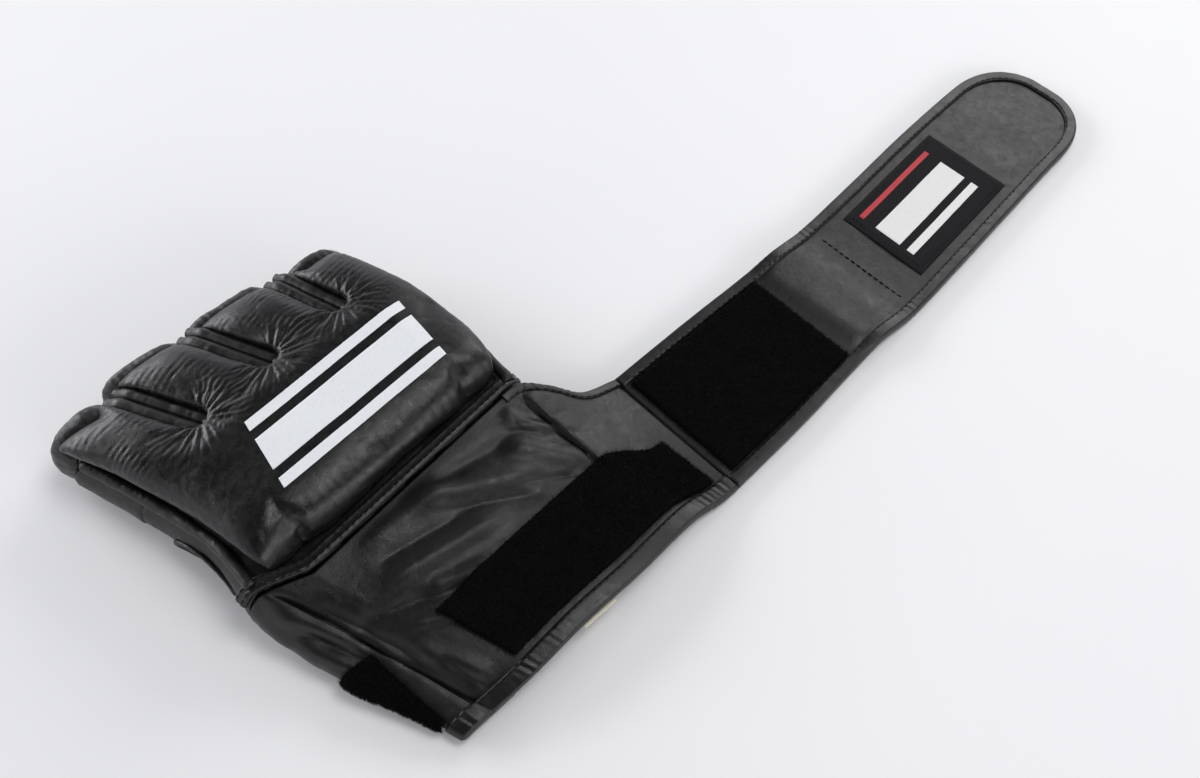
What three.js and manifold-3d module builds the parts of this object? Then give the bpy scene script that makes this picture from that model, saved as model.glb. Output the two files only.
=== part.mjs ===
// Right-hand open-finger grappling glove, laid palm down with its wrist strap opened out flat.
// Millimetres, +Z up. +Y points to the fingertips, +X to the little finger and along the strap.
// The origin is on the floor under the middle of the palm. Tables hold shares of the named sizes.

import * as THREE from 'three';
import Module from 'manifold-3d';

const wasm = await Module();
wasm.setup();

// Clearances between pieces
const gap = 0.3;
const edgeGap = 0.55;

// Hand shell: the flattened leather tube round the palm
const handWidth = 134;
const handLength = 65;
const wristHeight = 25;
const rootHeight = 20;
const shoulder = 10;
const leather = 2;
const palmCentre = 33;
const seamMiddle = -3;
const seamSkew = 0.093;
const seamCurl = 9;

// Fingers
const fingerLength = 40;
const rimHeight = 29;
const rimSize = 5;
const rimLength = 8;
const rimRound = 12;
const thumbHole = { centre: 32, length: 30, height: 10.5, level: 8.5 };
const thumbBindingRadius = 1.1;

// Knuckle pad
const padThickness = 19.5;
const padRound = 15;
const padCorner = 8;
const padCornerRoom = 2.5;
const lobeDip = 5;
const lobeDipWidth = 7;
const sideRollRadius = 2.5;
const sideRollLean = THREE.MathUtils.degToRad(25);
const rollHalfWidth = 2.2;
const rollHalfGap = 0.4;
const rollHeight = 11;
const rollEndRoom = 2.4;

// Wrist seam and cuff
const seamWidth = 5.6;
const seamThickness = 2.6;
const cuffWidth = 160;
const cuffLength = 83;
const bindingWidth = 6.5;
const strapBindingWidth = 4.6;
const notchBindingWidth = 3;
const bindingWall = 1;

// Strap
const strapLength = 284;
const strapHalfWidth = 33;
const strapLeather = 2.4;
const tipLength = 36;
const tipPower = 2.4;

// Patches on cuff and strap
const pile = 2;
const sidePile = 1.5;
const hookThickness = 1;
const labelThickness = 0.8;
const labelLength = 73;
const labelWidth = 47;
const tagLength = 20;
const tagWidth = 17;
const tagThickness = 0.5;

// Distances that follow from the sizes above
const rollSeat = shoulder - (shoulder + gap + sideRollRadius) * Math.sin(sideRollLean)
  + sideRollRadius + 2 * gap;
const armOffset = rollHalfGap + rollHalfWidth;
const slotHalf = armOffset + rollHalfWidth + gap;
const strapLevel = bindingWall + gap + strapLeather / 2;
const strapStart = 0.63 * cuffWidth;

// Where the wrist seam turns up at the thumb side, and how far that goes, as shares of handWidth
const curlStart = 0.35;
const curlReach = 0.15;

// Stops across the flat top and floor of the hand, the first one where the seam turns
const flatStops = [0.13, 0.3, 0.5, 0.7, 0.86];

// Sides of the hand: along is a share of handLength, the sides are shares of handWidth
const handSides = [
  { at: 0.00, thumb: -0.535, pinky: 0.463 },
  { at: 0.35, thumb: -0.522, pinky: 0.489 },
  { at: 0.70, thumb: -0.548, pinky: 0.489 },
  { at: 1.00, thumb: -0.585, pinky: 0.478 },
];

// Lines between the fingers: wrist, root and tip are shares of handWidth, reach of fingerLength
const fingerLines = [
  { wrist: -0.400, root: -0.585, tip: -0.655, reach: 0.76 },
  { wrist: -0.230, root: -0.299, tip: -0.429, reach: 0.96 },
  { wrist: -0.010, root: -0.022, tip: -0.153, reach: 1.09 },
  { wrist: 0.210, root: 0.239, tip: 0.157, reach: 1.06 },
  { wrist: 0.400, root: 0.478, tip: 0.410, reach: 0.93 },
];

// Lips of the finger openings: their reach at both ends as shares of rimLength, and how far the
// first end stands in from its line as a share of handWidth
const rims = [
  { reach: 1.30, lastReach: 1.25, standIn: 0 },
  { reach: 1.65, lastReach: 1.00, standIn: 0 },
  { reach: 1.00, lastReach: 1.00, standIn: 0 },
  { reach: 0.60, lastReach: 1.20, standIn: 0.022 },
];

// Slots between the lobes: start is the share of the finger at which each one begins
const slots = [
  { line: 1, start: 0.02 },
  { line: 2, start: 0.12 },
  { line: 3, start: 0.18 },
];

// Pad height along the glove, as shares of padThickness, from the wrist end to the lobe tips
const padCrown = [
  { at: 0.00, height: 0.82 },
  { at: 0.30, height: 0.93 },
  { at: 0.58, height: 1.00 },
  { at: 0.80, height: 0.93 },
  { at: 1.00, height: 0.74 },
];

// Rounding of the pad's ends: inward is a share of padRound, height a share of the crown
const padEnd = [
  { inward: 0.00, height: 0.34 },
  { inward: 0.10, height: 0.60 },
  { inward: 0.27, height: 0.82 },
  { inward: 0.55, height: 0.95 },
  { inward: 1.00, height: 1.00 },
];

// Rounding of the pad's sides: outward is a share of padRound, height a share of the crown
const padSide = [
  { outward: 0.00, height: 0.00 },
  { outward: 0.02, height: 0.28 },
  { outward: 0.13, height: 0.45 },
  { outward: 0.20, height: 0.58 },
  { outward: 0.15, height: 0.74 },
  { outward: -0.10, height: 0.88 },
  { outward: -0.45, height: 0.96 },
  { outward: -1.05, height: 1.00 },
];

// Back of the cuff, from the crease on the thumb side to the start of the strap.
// topX and endX are shares of cuffWidth, topY and endY shares of cuffLength below the seam,
// topZ, midZ and endZ are shares of wristHeight.
const cuffStations = [
  { at: 0.00, topX: -0.388, topY: 0.000, topZ: 0.96, midZ: 0.52, endX: -0.188, endY: 1.000, endZ: 0.22 },
  { at: 0.15, topX: -0.250, topY: 0.000, topZ: 0.96, midZ: 0.66, endX: -0.070, endY: 1.010, endZ: 0.37 },
  { at: 0.32, topX: -0.040, topY: 0.000, topZ: 0.96, midZ: 0.72, endX: 0.094, endY: 1.000, endZ: 0.45 },
  { at: 0.50, topX: 0.150, topY: 0.000, topZ: 0.96, midZ: 0.68, endX: 0.263, endY: 1.000, endZ: 0.43 },
  { at: 0.66, topX: 0.300, topY: 0.000, topZ: 0.96, midZ: 0.56, endX: 0.390, endY: 0.985, endZ: 0.36 },
  { at: 0.76, topX: 0.380, topY: 0.013, topZ: 0.93, midZ: 0.44, endX: 0.465, endY: 0.975, endZ: 0.28 },
  { at: 0.84, topX: 0.440, topY: 0.095, topZ: 0.74, midZ: 0.32, endX: 0.515, endY: 0.975, endZ: 0.20 },
  { at: 0.92, topX: 0.510, topY: 0.212, topZ: 0.42, midZ: 0.20, endX: 0.568, endY: 0.985, endZ: 0.14 },
  { at: 1.00, topX: 0.625, topY: 0.255, topZ: 0.10, midZ: 0.10, endX: 0.625, endY: 0.985, endZ: 0.10 },
];

// Side of the cuff: sections from the seam to the end. X values are shares of cuffWidth and
// Z values of wristHeight, at the crease, crown, side, foot and inner edge of the panel.
const sideSections = [
  { at: 0.00, crownX: -0.412, crownZ: 0.91, sideX: -0.444, sideZ: 0.50, footX: -0.405 },
  { at: 0.16, crownX: -0.378, crownZ: 0.80, sideX: -0.434, sideZ: 0.42, footX: -0.390 },
  { at: 0.36, crownX: -0.331, crownZ: 0.62, sideX: -0.400, sideZ: 0.34, footX: -0.356 },
  { at: 0.55, crownX: -0.294, crownZ: 0.48, sideX: -0.366, sideZ: 0.28, footX: -0.331 },
  { at: 0.76, crownX: -0.256, crownZ: 0.36, sideX: -0.310, sideZ: 0.23, footX: -0.288 },
  { at: 1.00, crownX: -0.225, crownZ: 0.24, sideX: -0.268, sideZ: 0.16, footX: -0.250 },
];
const flapEdge = -0.125;

// Middle line and width of the strap: y is a share of cuffLength below the wrist seam's middle,
// width a share of strapHalfWidth, lift a share of strapLeather
const strapStations = [
  { at: 0.00, y: 0.560, width: 1.07, lift: 0.00 },
  { at: 0.15, y: 0.550, width: 1.05, lift: 0.00 },
  { at: 0.29, y: 0.537, width: 1.00, lift: 0.10 },
  { at: 0.35, y: 0.537, width: 0.99, lift: 1.00 },
  { at: 0.42, y: 0.540, width: 1.00, lift: 0.10 },
  { at: 0.54, y: 0.515, width: 1.00, lift: 0.00 },
  { at: 0.72, y: 0.468, width: 1.00, lift: 0.00 },
  { at: 0.88, y: 0.438, width: 0.98, lift: 0.00 },
  { at: 1.00, y: 0.438, width: 0.98, lift: 0.00 },
];

const lerp = THREE.MathUtils.lerp;
const smoothstep = THREE.MathUtils.smoothstep;

// Smooth value of one column of a table at a share along it
function along(table, column, share) {
  const last = table.length - 1;
  let row = 0;
  while (row < last - 1 && share > table[row + 1].at) {
    row += 1;
  }
  const slopeAt = (index) => {
    const low = table[Math.max(index - 1, 0)];
    const high = table[Math.min(index + 1, last)];
    return (high[column] - low[column]) / (high.at - low.at);
  };
  const from = table[row];
  const to = table[row + 1];
  const span = to.at - from.at;
  const t = (share - from.at) / span;
  const rise = to[column] - from[column];
  const bendStart = slopeAt(row) * span - rise;
  const bendEnd = rise - slopeAt(row + 1) * span;
  return from[column] + rise * t + t * (1 - t) * (bendStart * (1 - t) + bendEnd * t);
}

// The values of a list that lie between two ends, with the ends themselves
function within(list, low, high) {
  return [low, ...list.filter((value) => value > low && value < high), high];
}

// Evenly spaced shares from 0 to 1
function shares(count) {
  return Array.from({ length: count + 1 }, (_, index) => index / count);
}

// Closed body from points and triangles, turned so that its faces point out
function bodyFrom(points, triangles) {
  const volume = triangles.reduce((sum, [a, b, c]) => {
    const cross = new THREE.Vector3().crossVectors(points[b], points[c]);
    return sum + points[a].dot(cross);
  }, 0);
  const outward = volume > 0 ? triangles : triangles.map(([a, b, c]) => [a, c, b]);
  const geometry = new THREE.BufferGeometry();
  const flat = points.flatMap((point) => point.toArray());
  geometry.setAttribute('position', new THREE.Float32BufferAttribute(flat, 3));
  geometry.setIndex(outward.flat());
  return geometry;
}

// Two triangles for one quad of a grid
function quad(a, b, c, d) {
  return [[a, b, c], [a, c, d]];
}

// Body from a grid of points that closes on itself in both directions, such as a tube's walls
function closedGrid(rows) {
  const width = rows[0].length;
  const triangles = [];
  rows.forEach((row, i) => {
    const next = (i + 1) % rows.length;
    row.forEach((_, j) => {
      const side = (j + 1) % width;
      triangles.push(...quad(i * width + j, next * width + j, next * width + side, i * width + side));
    });
  });
  return bodyFrom(rows.flat(), triangles);
}

// Body from closed sections along a path, with both ends capped by the section's own triangles
function sweptBody(sections, capTriangles) {
  const width = sections[0].length;
  const triangles = [];
  for (let i = 0; i < sections.length - 1; i += 1) {
    for (let j = 0; j < width; j += 1) {
      const side = (j + 1) % width;
      const near = i * width;
      const far = near + width;
      triangles.push(...quad(near + j, far + j, far + side, near + side));
    }
  }
  const end = (sections.length - 1) * width;
  capTriangles.forEach(([a, b, c]) => {
    triangles.push([a, b, c]);
    triangles.push([end + a, end + c, end + b]);
  });
  return bodyFrom(sections.flat(), triangles);
}

// Cap triangles of a flat section given as points across and up
function capOf(section) {
  const turned = THREE.ShapeUtils.area(section) < 0;
  const faces = THREE.ShapeUtils.triangulateShape(section, []);
  return turned ? faces.map(([a, b, c]) => [a, c, b]) : faces;
}

// Point and normal of a surface given as a function of two shares
function frameOn(surface, u, v) {
  const step = 1e-3;
  const uLow = Math.max(u - step, 0);
  const uHigh = Math.min(u + step, 1);
  const vLow = Math.max(v - step, 0);
  const vHigh = Math.min(v + step, 1);
  const alongU = surface(uHigh, v).sub(surface(uLow, v));
  const alongV = surface(u, vHigh).sub(surface(u, vLow));
  const normal = new THREE.Vector3().crossVectors(alongU, alongV).normalize();
  if (normal.z < 0) {
    normal.negate();
  }
  return { point: surface(u, v), normal };
}

// Sheet of even thickness over a range of a surface, its underside at the given height over it
function sheet(surface, uShares, vShares, bottom, top, frames = frameOn) {
  const columns = vShares.length;
  const lower = [];
  const upper = [];
  uShares.forEach((u) => {
    vShares.forEach((v) => {
      const { point, normal } = frames(surface, u, v);
      lower.push(point.clone().addScaledVector(normal, bottom));
      upper.push(point.clone().addScaledVector(normal, top));
    });
  });
  const count = lower.length;
  const triangles = [];
  for (let i = 0; i < uShares.length - 1; i += 1) {
    for (let j = 0; j < columns - 1; j += 1) {
      const a = i * columns + j;
      const b = a + columns;
      triangles.push(...quad(a + count, b + count, b + 1 + count, a + 1 + count));
      triangles.push(...quad(a, a + 1, b + 1, b));
    }
  }
  const lastRow = (uShares.length - 1) * columns;
  for (let j = 0; j < columns - 1; j += 1) {
    triangles.push(...quad(j, j + count, j + 1 + count, j + 1));
    triangles.push(...quad(lastRow + j, lastRow + j + 1, lastRow + j + 1 + count, lastRow + j + count));
  }
  for (let i = 0; i < uShares.length - 1; i += 1) {
    const a = i * columns;
    const b = a + columns;
    const c = a + columns - 1;
    const d = b + columns - 1;
    triangles.push(...quad(a, b, b + count, a + count));
    triangles.push(...quad(c, c + count, d + count, d));
  }
  return bodyFrom([...lower, ...upper], triangles);
}

// Boolean helpers
function toManifold(geometry) {
  const mesh = new wasm.Mesh({
    numProp: 3,
    vertProperties: new Float32Array(geometry.attributes.position.array),
    triVerts: new Uint32Array(geometry.index.array),
  });
  return new wasm.Manifold(mesh);
}

function cutFrom(geometry, cutters) {
  let body = toManifold(geometry);
  cutters.forEach((cutter) => {
    body = body.subtract(toManifold(cutter));
  });
  const mesh = body.getMesh();
  const result = new THREE.BufferGeometry();
  result.setAttribute('position', new THREE.BufferAttribute(new Float32Array(mesh.vertProperties), 3));
  result.setIndex(new THREE.BufferAttribute(new Uint32Array(mesh.triVerts), 1));
  return result;
}

// Outline of a flattened tube between two sides, floor and height, moved inward by inset.
// Its corners have arcSteps steps each, its floor and top the given stops across.
function ringOutline(left, right, height, inset, round, arcSteps = 4, stops = []) {
  const radius = round - inset;
  const corner = (x, z, turn) => shares(arcSteps).map((share) => {
    const angle = turn + share * 0.5 * Math.PI;
    return { x: x + radius * Math.cos(angle), z: z + radius * Math.sin(angle) };
  });
  const low = left + round;
  const high = right - round;
  const flat = (z) => stops.map((share) => ({ x: lerp(low, high, share), z }));
  return [
    ...corner(low, round, Math.PI),
    ...flat(inset),
    ...corner(high, round, 1.5 * Math.PI),
    ...corner(high, height - round, 0),
    ...flat(height - inset).reverse(),
    ...corner(low, height - round, 0.5 * Math.PI),
  ];
}

// Wrist seam, sides and height of the hand
const rootY = handLength + seamMiddle;

function seamY(x) {
  const intoCurl = THREE.MathUtils.clamp(-x / handWidth - curlStart, 0, curlReach) / curlReach;
  return seamMiddle + seamSkew * x + seamCurl * intoCurl;
}

function handHeight(share) {
  return lerp(wristHeight, rootHeight, smoothstep(share, 0, 1));
}

function handSide(side, share) {
  return along(handSides, side, share) * handWidth;
}

function handY(x, share) {
  return lerp(seamY(x), rootY, share);
}

// Point of a finger line at a share from root to tip, moved on along the finger by past
function fingerPoint(index, share, past = 0) {
  const line = fingerLines[index];
  const ahead = new THREE.Vector2((line.tip - line.root) * handWidth, line.reach * fingerLength);
  const point = ahead.clone().multiplyScalar(share).addScaledVector(ahead.normalize(), past);
  return { x: line.root * handWidth + point.x, y: rootY + point.y };
}

// Hollow tube through sections, each one giving its outline at an inset
function tubeWalls(sectionAt, stationShares, wall) {
  const outer = stationShares.map((share) => sectionAt(share, 0));
  const inner = stationShares.map((share) => sectionAt(share, wall)).reverse();
  return closedGrid([...outer, ...inner]);
}

function handSection(share, inset) {
  const outline = ringOutline(
    handSide('thumb', share), handSide('pinky', share), handHeight(share), inset, shoulder, 4,
    flatStops,
  );
  return outline.map(({ x, z }) => new THREE.Vector3(x, handY(x, share), z));
}

function handShell() {
  const walls = tubeWalls(handSection, shares(6), leather);
  const opening = new THREE.Shape();
  opening.absellipse(0, 0, thumbHole.length / 2, thumbHole.height / 2, 0, 2 * Math.PI);
  const cutter = new THREE.ExtrudeGeometry(opening, {
    depth: 2 * shoulder, bevelEnabled: false, curveSegments: 10, steps: 1,
  });
  cutter.rotateX(Math.PI / 2);
  cutter.rotateZ(Math.PI / 2);
  const side = handSide('thumb', thumbHole.centre / handLength);
  cutter.translate(side - shoulder, thumbHole.centre + seamMiddle, thumbHole.level);
  return cutFrom(walls, [weldedCopy(cutter)]);
}

// Copy of a geometry with its equal corners merged into one
function weldedCopy(geometry) {
  const source = geometry.index ? geometry.toNonIndexed() : geometry;
  const position = source.attributes.position;
  const points = [];
  const known = new Map();
  const indexOf = (i) => {
    const point = new THREE.Vector3().fromBufferAttribute(position, i);
    const key = point.toArray().map((value) => value.toFixed(4)).join(' ');
    if (!known.has(key)) {
      known.set(key, points.length);
      points.push(point);
    }
    return known.get(key);
  };
  const triangles = [];
  for (let i = 0; i < position.count; i += 3) {
    triangles.push([indexOf(i), indexOf(i + 1), indexOf(i + 2)]);
  }
  return bodyFrom(points, triangles);
}

// Round binding on the outside of the hand shell, along the edge of the thumb hole
function thumbBinding() {
  const centreY = thumbHole.centre + seamMiddle;
  const reach = shoulder + 2 * gap + thumbBindingRadius;
  const rows = shares(24).slice(0, -1).map((share) => {
    const angle = share * 2 * Math.PI;
    const y = centreY + (thumbHole.length / 2 + thumbBindingRadius) * Math.cos(angle);
    const z = thumbHole.level + (thumbHole.height / 2 + thumbBindingRadius) * Math.sin(angle);
    const handShare = (y - seamMiddle) / handLength;
    const side = handSide('thumb', handShare);
    const height = handHeight(handShare);
    const centreZ = THREE.MathUtils.clamp(z, shoulder, height - shoulder);
    const lean = Math.asin(THREE.MathUtils.clamp((z - centreZ) / reach, -1, 1));
    const middle = new THREE.Vector3(side + shoulder - reach * Math.cos(lean), y, z);
    const outward = new THREE.Vector3(-Math.cos(lean), 0, Math.sin(lean));
    const spread = new THREE.Vector3(0, Math.cos(angle), Math.sin(angle));
    return shares(6).slice(0, -1).map((turn) => {
      const around = turn * 2 * Math.PI;
      return middle.clone()
        .addScaledVector(outward, thumbBindingRadius * Math.cos(around))
        .addScaledVector(spread, thumbBindingRadius * Math.sin(around));
    });
  });
  return closedGrid(rows);
}

// Outline of a finger's tube between the points on its two lines
function fingerSection(left, right, inset, height, round, arcSteps) {
  const low = left.x + gap / 2;
  const high = right.x - gap / 2;
  return ringOutline(low, high, height, inset, round, arcSteps).map(({ x, z }) => {
    const across = (x - low) / (high - low);
    return new THREE.Vector3(x, lerp(left.y, right.y, across), z);
  });
}

function fingerSleeve(index) {
  const start = edgeGap / fingerLength;
  const stations = shares(4).map((share) => lerp(start, 1, share));
  const sectionAt = (share, inset) => fingerSection(
    fingerPoint(index, share), fingerPoint(index + 1, share), inset, rootHeight, shoulder - gap, 4,
  );
  return tubeWalls(sectionAt, stations, leather);
}

// Rolled lip round the opening of a finger
function fingerRim(index) {
  const { reach, lastReach, standIn } = rims[index];
  const radius = rimSize / 2;
  const rows = shares(8).slice(0, -1).map((turn) => {
    const angle = turn * 2 * Math.PI;
    const out = rimLength * (1 + Math.sin(angle)) / 2;
    const left = fingerPoint(index, 1, edgeGap + reach * out);
    const right = fingerPoint(index + 1, 1, edgeGap + lastReach * out);
    left.x += standIn * handWidth;
    const inset = radius - radius * Math.cos(angle);
    return fingerSection(left, right, inset, rimHeight, rimRound, 3);
  });
  return closedGrid(rows);
}

// Round tube along a path, with flat ends
function roundTube(path, radius, sides = 8) {
  const section = shares(sides).slice(0, -1).map((turn) => {
    const angle = turn * 2 * Math.PI;
    return new THREE.Vector2(radius * Math.cos(angle), radius * Math.sin(angle));
  });
  const up = new THREE.Vector3(0, 0, 1);
  return sweptBody(alongPath(path, section, () => up), capOf(section));
}

// A section's points placed square to a path: x across it, y along the given up direction
function alongPath(path, section, upAt) {
  return path.map((point, index) => {
    const before = path[Math.max(index - 1, 0)];
    const after = path[Math.min(index + 1, path.length - 1)];
    const ahead = after.clone().sub(before).normalize();
    const across = new THREE.Vector3().crossVectors(ahead, upAt(index)).normalize();
    const upward = new THREE.Vector3().crossVectors(across, ahead).normalize();
    return section.map(({ x, y }) => point.clone()
      .addScaledVector(across, x)
      .addScaledVector(upward, y));
  });
}

// Rolled edge on the shoulder of the hand and of the outer finger: side is -1 or 1
function sideRoll(side) {
  const reach = shoulder + gap + sideRollRadius;
  const key = side < 0 ? 'thumb' : 'pinky';
  const outerLine = side < 0 ? 0 : fingerLines.length - 1;
  const inward = shoulder - reach * Math.sin(sideRollLean);
  const rise = reach * Math.cos(sideRollLean) - shoulder;
  const handPart = shares(7).map((share) => {
    const place = lerp(0.12, 0.97, share);
    const x = handSide(key, place) - side * inward;
    return new THREE.Vector3(x, handY(x, place), handHeight(place) + rise);
  });
  const fingerPart = shares(3).map((share) => {
    const point = fingerPoint(outerLine, lerp(0.1, 0.9, share));
    return new THREE.Vector3(point.x - side * inward, point.y, rootHeight + rise);
  });
  return roundTube([...handPart, ...fingerPart], sideRollRadius);
}

// Knuckle pad
function padBase(x, y) {
  const share = THREE.MathUtils.clamp((y - seamY(x)) / (rootY - seamY(x)), 0, 1);
  return handHeight(share) + gap;
}

const padStart = seamWidth + 3 * gap;
const rootShare = 0.58;

// Place of one of the lines between the lobes at a share of the pad's length
function padLine(index, share) {
  const last = fingerLines.length - 1;
  if (share > rootShare) {
    const finger = fingerPoint(index, (share - rootShare) / (1 - rootShare));
    if (index === 0) {
      finger.x += rollSeat;
    }
    if (index === last) {
      finger.x -= rollSeat;
    }
    return finger;
  }
  const handShare = lerp(0.1, 1, share / rootShare);
  let x = lerp(fingerLines[index].wrist, fingerLines[index].root, share / rootShare) * handWidth;
  let start = padStart;
  if (index === 0) {
    start += padCornerRoom;
    x = handSide('thumb', handShare) + rollSeat;
    x += padCorner * (1 - share / rootShare) ** 2;
  }
  if (index === last) {
    x = handSide('pinky', handShare) - rollSeat;
  }
  return { x, y: lerp(seamY(x) + start, rootY, share / rootShare) };
}

function padSlotDip(x, share) {
  if (share <= rootShare) {
    return 0;
  }
  const fingerShare = (share - rootShare) / (1 - rootShare);
  return slots.reduce((dip, slot) => {
    const line = padLine(slot.line, share);
    const near = Math.exp(-(((x - line.x) / lobeDipWidth) ** 2));
    return dip + lobeDip * near * smoothstep(fingerShare, slot.start, slot.start + 0.35);
  }, 0);
}

function padSection(share, endHeight) {
  const last = fingerLines.length - 1;
  const leftEdge = padLine(0, share);
  const rightEdge = padLine(last, share);
  const crown = along(padCrown, 'height', share) * padThickness * endHeight;
  const sidePoints = (edge, sign) => padSide.map(({ outward, height }) => {
    const swell = outward > 0 ? outward * endHeight : outward;
    const x = edge.x + sign * swell * padRound;
    return new THREE.Vector3(x, edge.y, padBase(edge.x, edge.y) + crown * height);
  });
  const inner = Math.abs(padSide[padSide.length - 1].outward) * padRound;
  const lobeShares = [0, 0.14, 0.32, 0.5, 0.68, 0.86];
  const topPoints = [];
  const bottomPoints = [];
  for (let lobe = 0; lobe < last; lobe += 1) {
    const from = padLine(lobe, share);
    const to = padLine(lobe + 1, share);
    const low = lobe === 0 ? from.x + inner : from.x;
    const high = lobe === last - 1 ? to.x - inner : to.x;
    lobeShares.forEach((lobeShare) => {
      if (lobe === 0 && lobeShare === 0) {
        return;
      }
      const x = lerp(low, high, lobeShare);
      const y = lerp(from.y, to.y, (x - from.x) / (to.x - from.x));
      const base = padBase(x, y);
      topPoints.push(new THREE.Vector3(x, y, base + crown - padSlotDip(x, share) * endHeight));
      bottomPoints.push(new THREE.Vector3(x, y, base));
    });
  }
  const ring = [
    ...sidePoints(leftEdge, -1),
    ...topPoints,
    ...sidePoints(rightEdge, 1).reverse(),
    ...bottomPoints.reverse(),
  ];
  return { ring, tops: topPoints.length };
}

// Cap of the pad's end: side fans and a strip between the top and bottom points
function padCap(sideCount, topCount) {
  const total = 2 * sideCount + 2 * topCount;
  const triangles = [];
  const bottomOf = (index) => total - 1 - index;
  const leftTop = sideCount - 1;
  for (let i = 1; i < sideCount; i += 1) {
    triangles.push([bottomOf(0), i - 1, i]);
  }
  triangles.push([bottomOf(0), leftTop, leftTop + 1]);
  for (let i = 0; i < topCount - 1; i += 1) {
    const top = sideCount + i;
    triangles.push([bottomOf(i), top, top + 1]);
    triangles.push([bottomOf(i), top + 1, bottomOf(i + 1)]);
  }
  const lastTop = sideCount + topCount - 1;
  const lastBottom = bottomOf(topCount - 1);
  for (let i = 0; i < sideCount; i += 1) {
    triangles.push([lastBottom, lastTop + i, lastTop + i + 1]);
  }
  return triangles;
}

function slotCutter(slot) {
  const inner = fingerPoint(slot.line, slot.start);
  const outer = fingerPoint(slot.line, 1.4);
  const ahead = new THREE.Vector2(outer.x - inner.x, outer.y - inner.y);
  const length = ahead.length();
  const outline = new THREE.Shape();
  outline.moveTo(slotHalf, slotHalf);
  outline.lineTo(slotHalf, length);
  outline.lineTo(-slotHalf, length);
  outline.lineTo(-slotHalf, slotHalf);
  outline.absarc(0, slotHalf, slotHalf, Math.PI, 2 * Math.PI, false);
  const cutter = new THREE.ExtrudeGeometry(outline, {
    depth: 2 * wristHeight + padThickness, bevelEnabled: false, curveSegments: 8, steps: 1,
  });
  cutter.rotateZ(ahead.angle() - Math.PI / 2);
  cutter.translate(inner.x, inner.y, 0);
  return weldedCopy(cutter);
}

function knucklePad() {
  const padLength = handLength + fingerLength;
  const endShare = padRound / padLength;
  const wristEnd = padEnd.map((row) => ({ share: row.inward * endShare, height: row.height }));
  const middle = shares(9).slice(1, -1).map((share) => (
    { share: lerp(endShare, 1 - endShare, share), height: 1 }
  ));
  const tipEnd = padEnd.map((row) => ({ share: 1 - row.inward * endShare, height: row.height })).reverse();
  const stations = [...wristEnd, ...middle, ...tipEnd];
  const sections = stations.map((station) => padSection(station.share, station.height));
  const cap = padCap(padSide.length, sections[0].tops);
  const body = sweptBody(sections.map((section) => section.ring), cap);
  return cutFrom(body, slots.map(slotCutter));
}

// Folded gusset in a slot: two upright arms joined by a turn at the inner end
function fingerRoll(slot) {
  const inner = fingerPoint(slot.line, slot.start);
  const outer = fingerPoint(slot.line, 1, -rollEndRoom);
  const start = new THREE.Vector2(inner.x, inner.y);
  const ahead = new THREE.Vector2(outer.x, outer.y).sub(start);
  const length = ahead.length();
  ahead.normalize();
  const across = new THREE.Vector2(ahead.y, -ahead.x);
  const level = rootHeight + gap;
  const plan = (forward, side) => {
    const point = start.clone().addScaledVector(ahead, forward).addScaledVector(across, side);
    return new THREE.Vector3(point.x, point.y, level);
  };
  const arm = [1, 0.7, 0.4].map((share) => share * (length - gap));
  const turn = shares(6).map((share) => {
    const angle = share * Math.PI;
    return plan(slotHalf - armOffset * Math.sin(angle), -armOffset * Math.cos(angle));
  });
  const path = [
    ...arm.map((forward) => plan(forward, -armOffset)),
    ...turn,
    ...arm.reverse().map((forward) => plan(forward, armOffset)),
  ];
  const roundTop = shares(4).map((share) => {
    const angle = share * Math.PI;
    const top = rollHeight - rollHalfWidth;
    return new THREE.Vector2(rollHalfWidth * Math.cos(angle), top + rollHalfWidth * Math.sin(angle));
  });
  const section = [
    new THREE.Vector2(-rollHalfWidth, 0),
    new THREE.Vector2(rollHalfWidth, 0),
    ...roundTop,
  ];
  const up = new THREE.Vector3(0, 0, 1);
  return sweptBody(alongPath(path, section, () => up), capOf(section));
}

// Raised strip over the seam between pad and cuff, following the top of the hand shell
function wristSeamBinding() {
  const left = handSide('thumb', 0);
  const right = handSide('pinky', seamWidth / handLength) + gap;
  const lift = gap + seamThickness / 2;
  const reach = shoulder + lift;
  const arcLean = [60, 40, 20, 0].map(THREE.MathUtils.degToRad);
  const onSide = (x, sign) => arcLean.map((lean) => ({
    x: x - sign * shoulder + sign * reach * Math.sin(lean),
    z: wristHeight - shoulder + reach * Math.cos(lean),
    normal: new THREE.Vector3(sign * Math.sin(lean), 0, Math.cos(lean)),
  }));
  const across = flatStops.map((share) => ({
    x: lerp(left + shoulder, right - shoulder, share),
    z: wristHeight + lift,
    normal: new THREE.Vector3(0, 0, 1),
  }));
  const stations = [...onSide(left, -1), ...across, ...onSide(right, 1).reverse()];
  const path = stations.map(({ x, z }) => new THREE.Vector3(x, seamY(x) + seamWidth / 2, z));
  const half = seamThickness / 2;
  const section = [
    new THREE.Vector2(-seamWidth / 2, -half),
    new THREE.Vector2(seamWidth / 2, -half),
    new THREE.Vector2(seamWidth / 2, half * 0.2),
    new THREE.Vector2(seamWidth * 0.25, half),
    new THREE.Vector2(-seamWidth * 0.25, half),
    new THREE.Vector2(-seamWidth / 2, half * 0.2),
  ];
  return sweptBody(alongPath(path, section, (index) => stations[index].normal), capOf(section));
}

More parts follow.
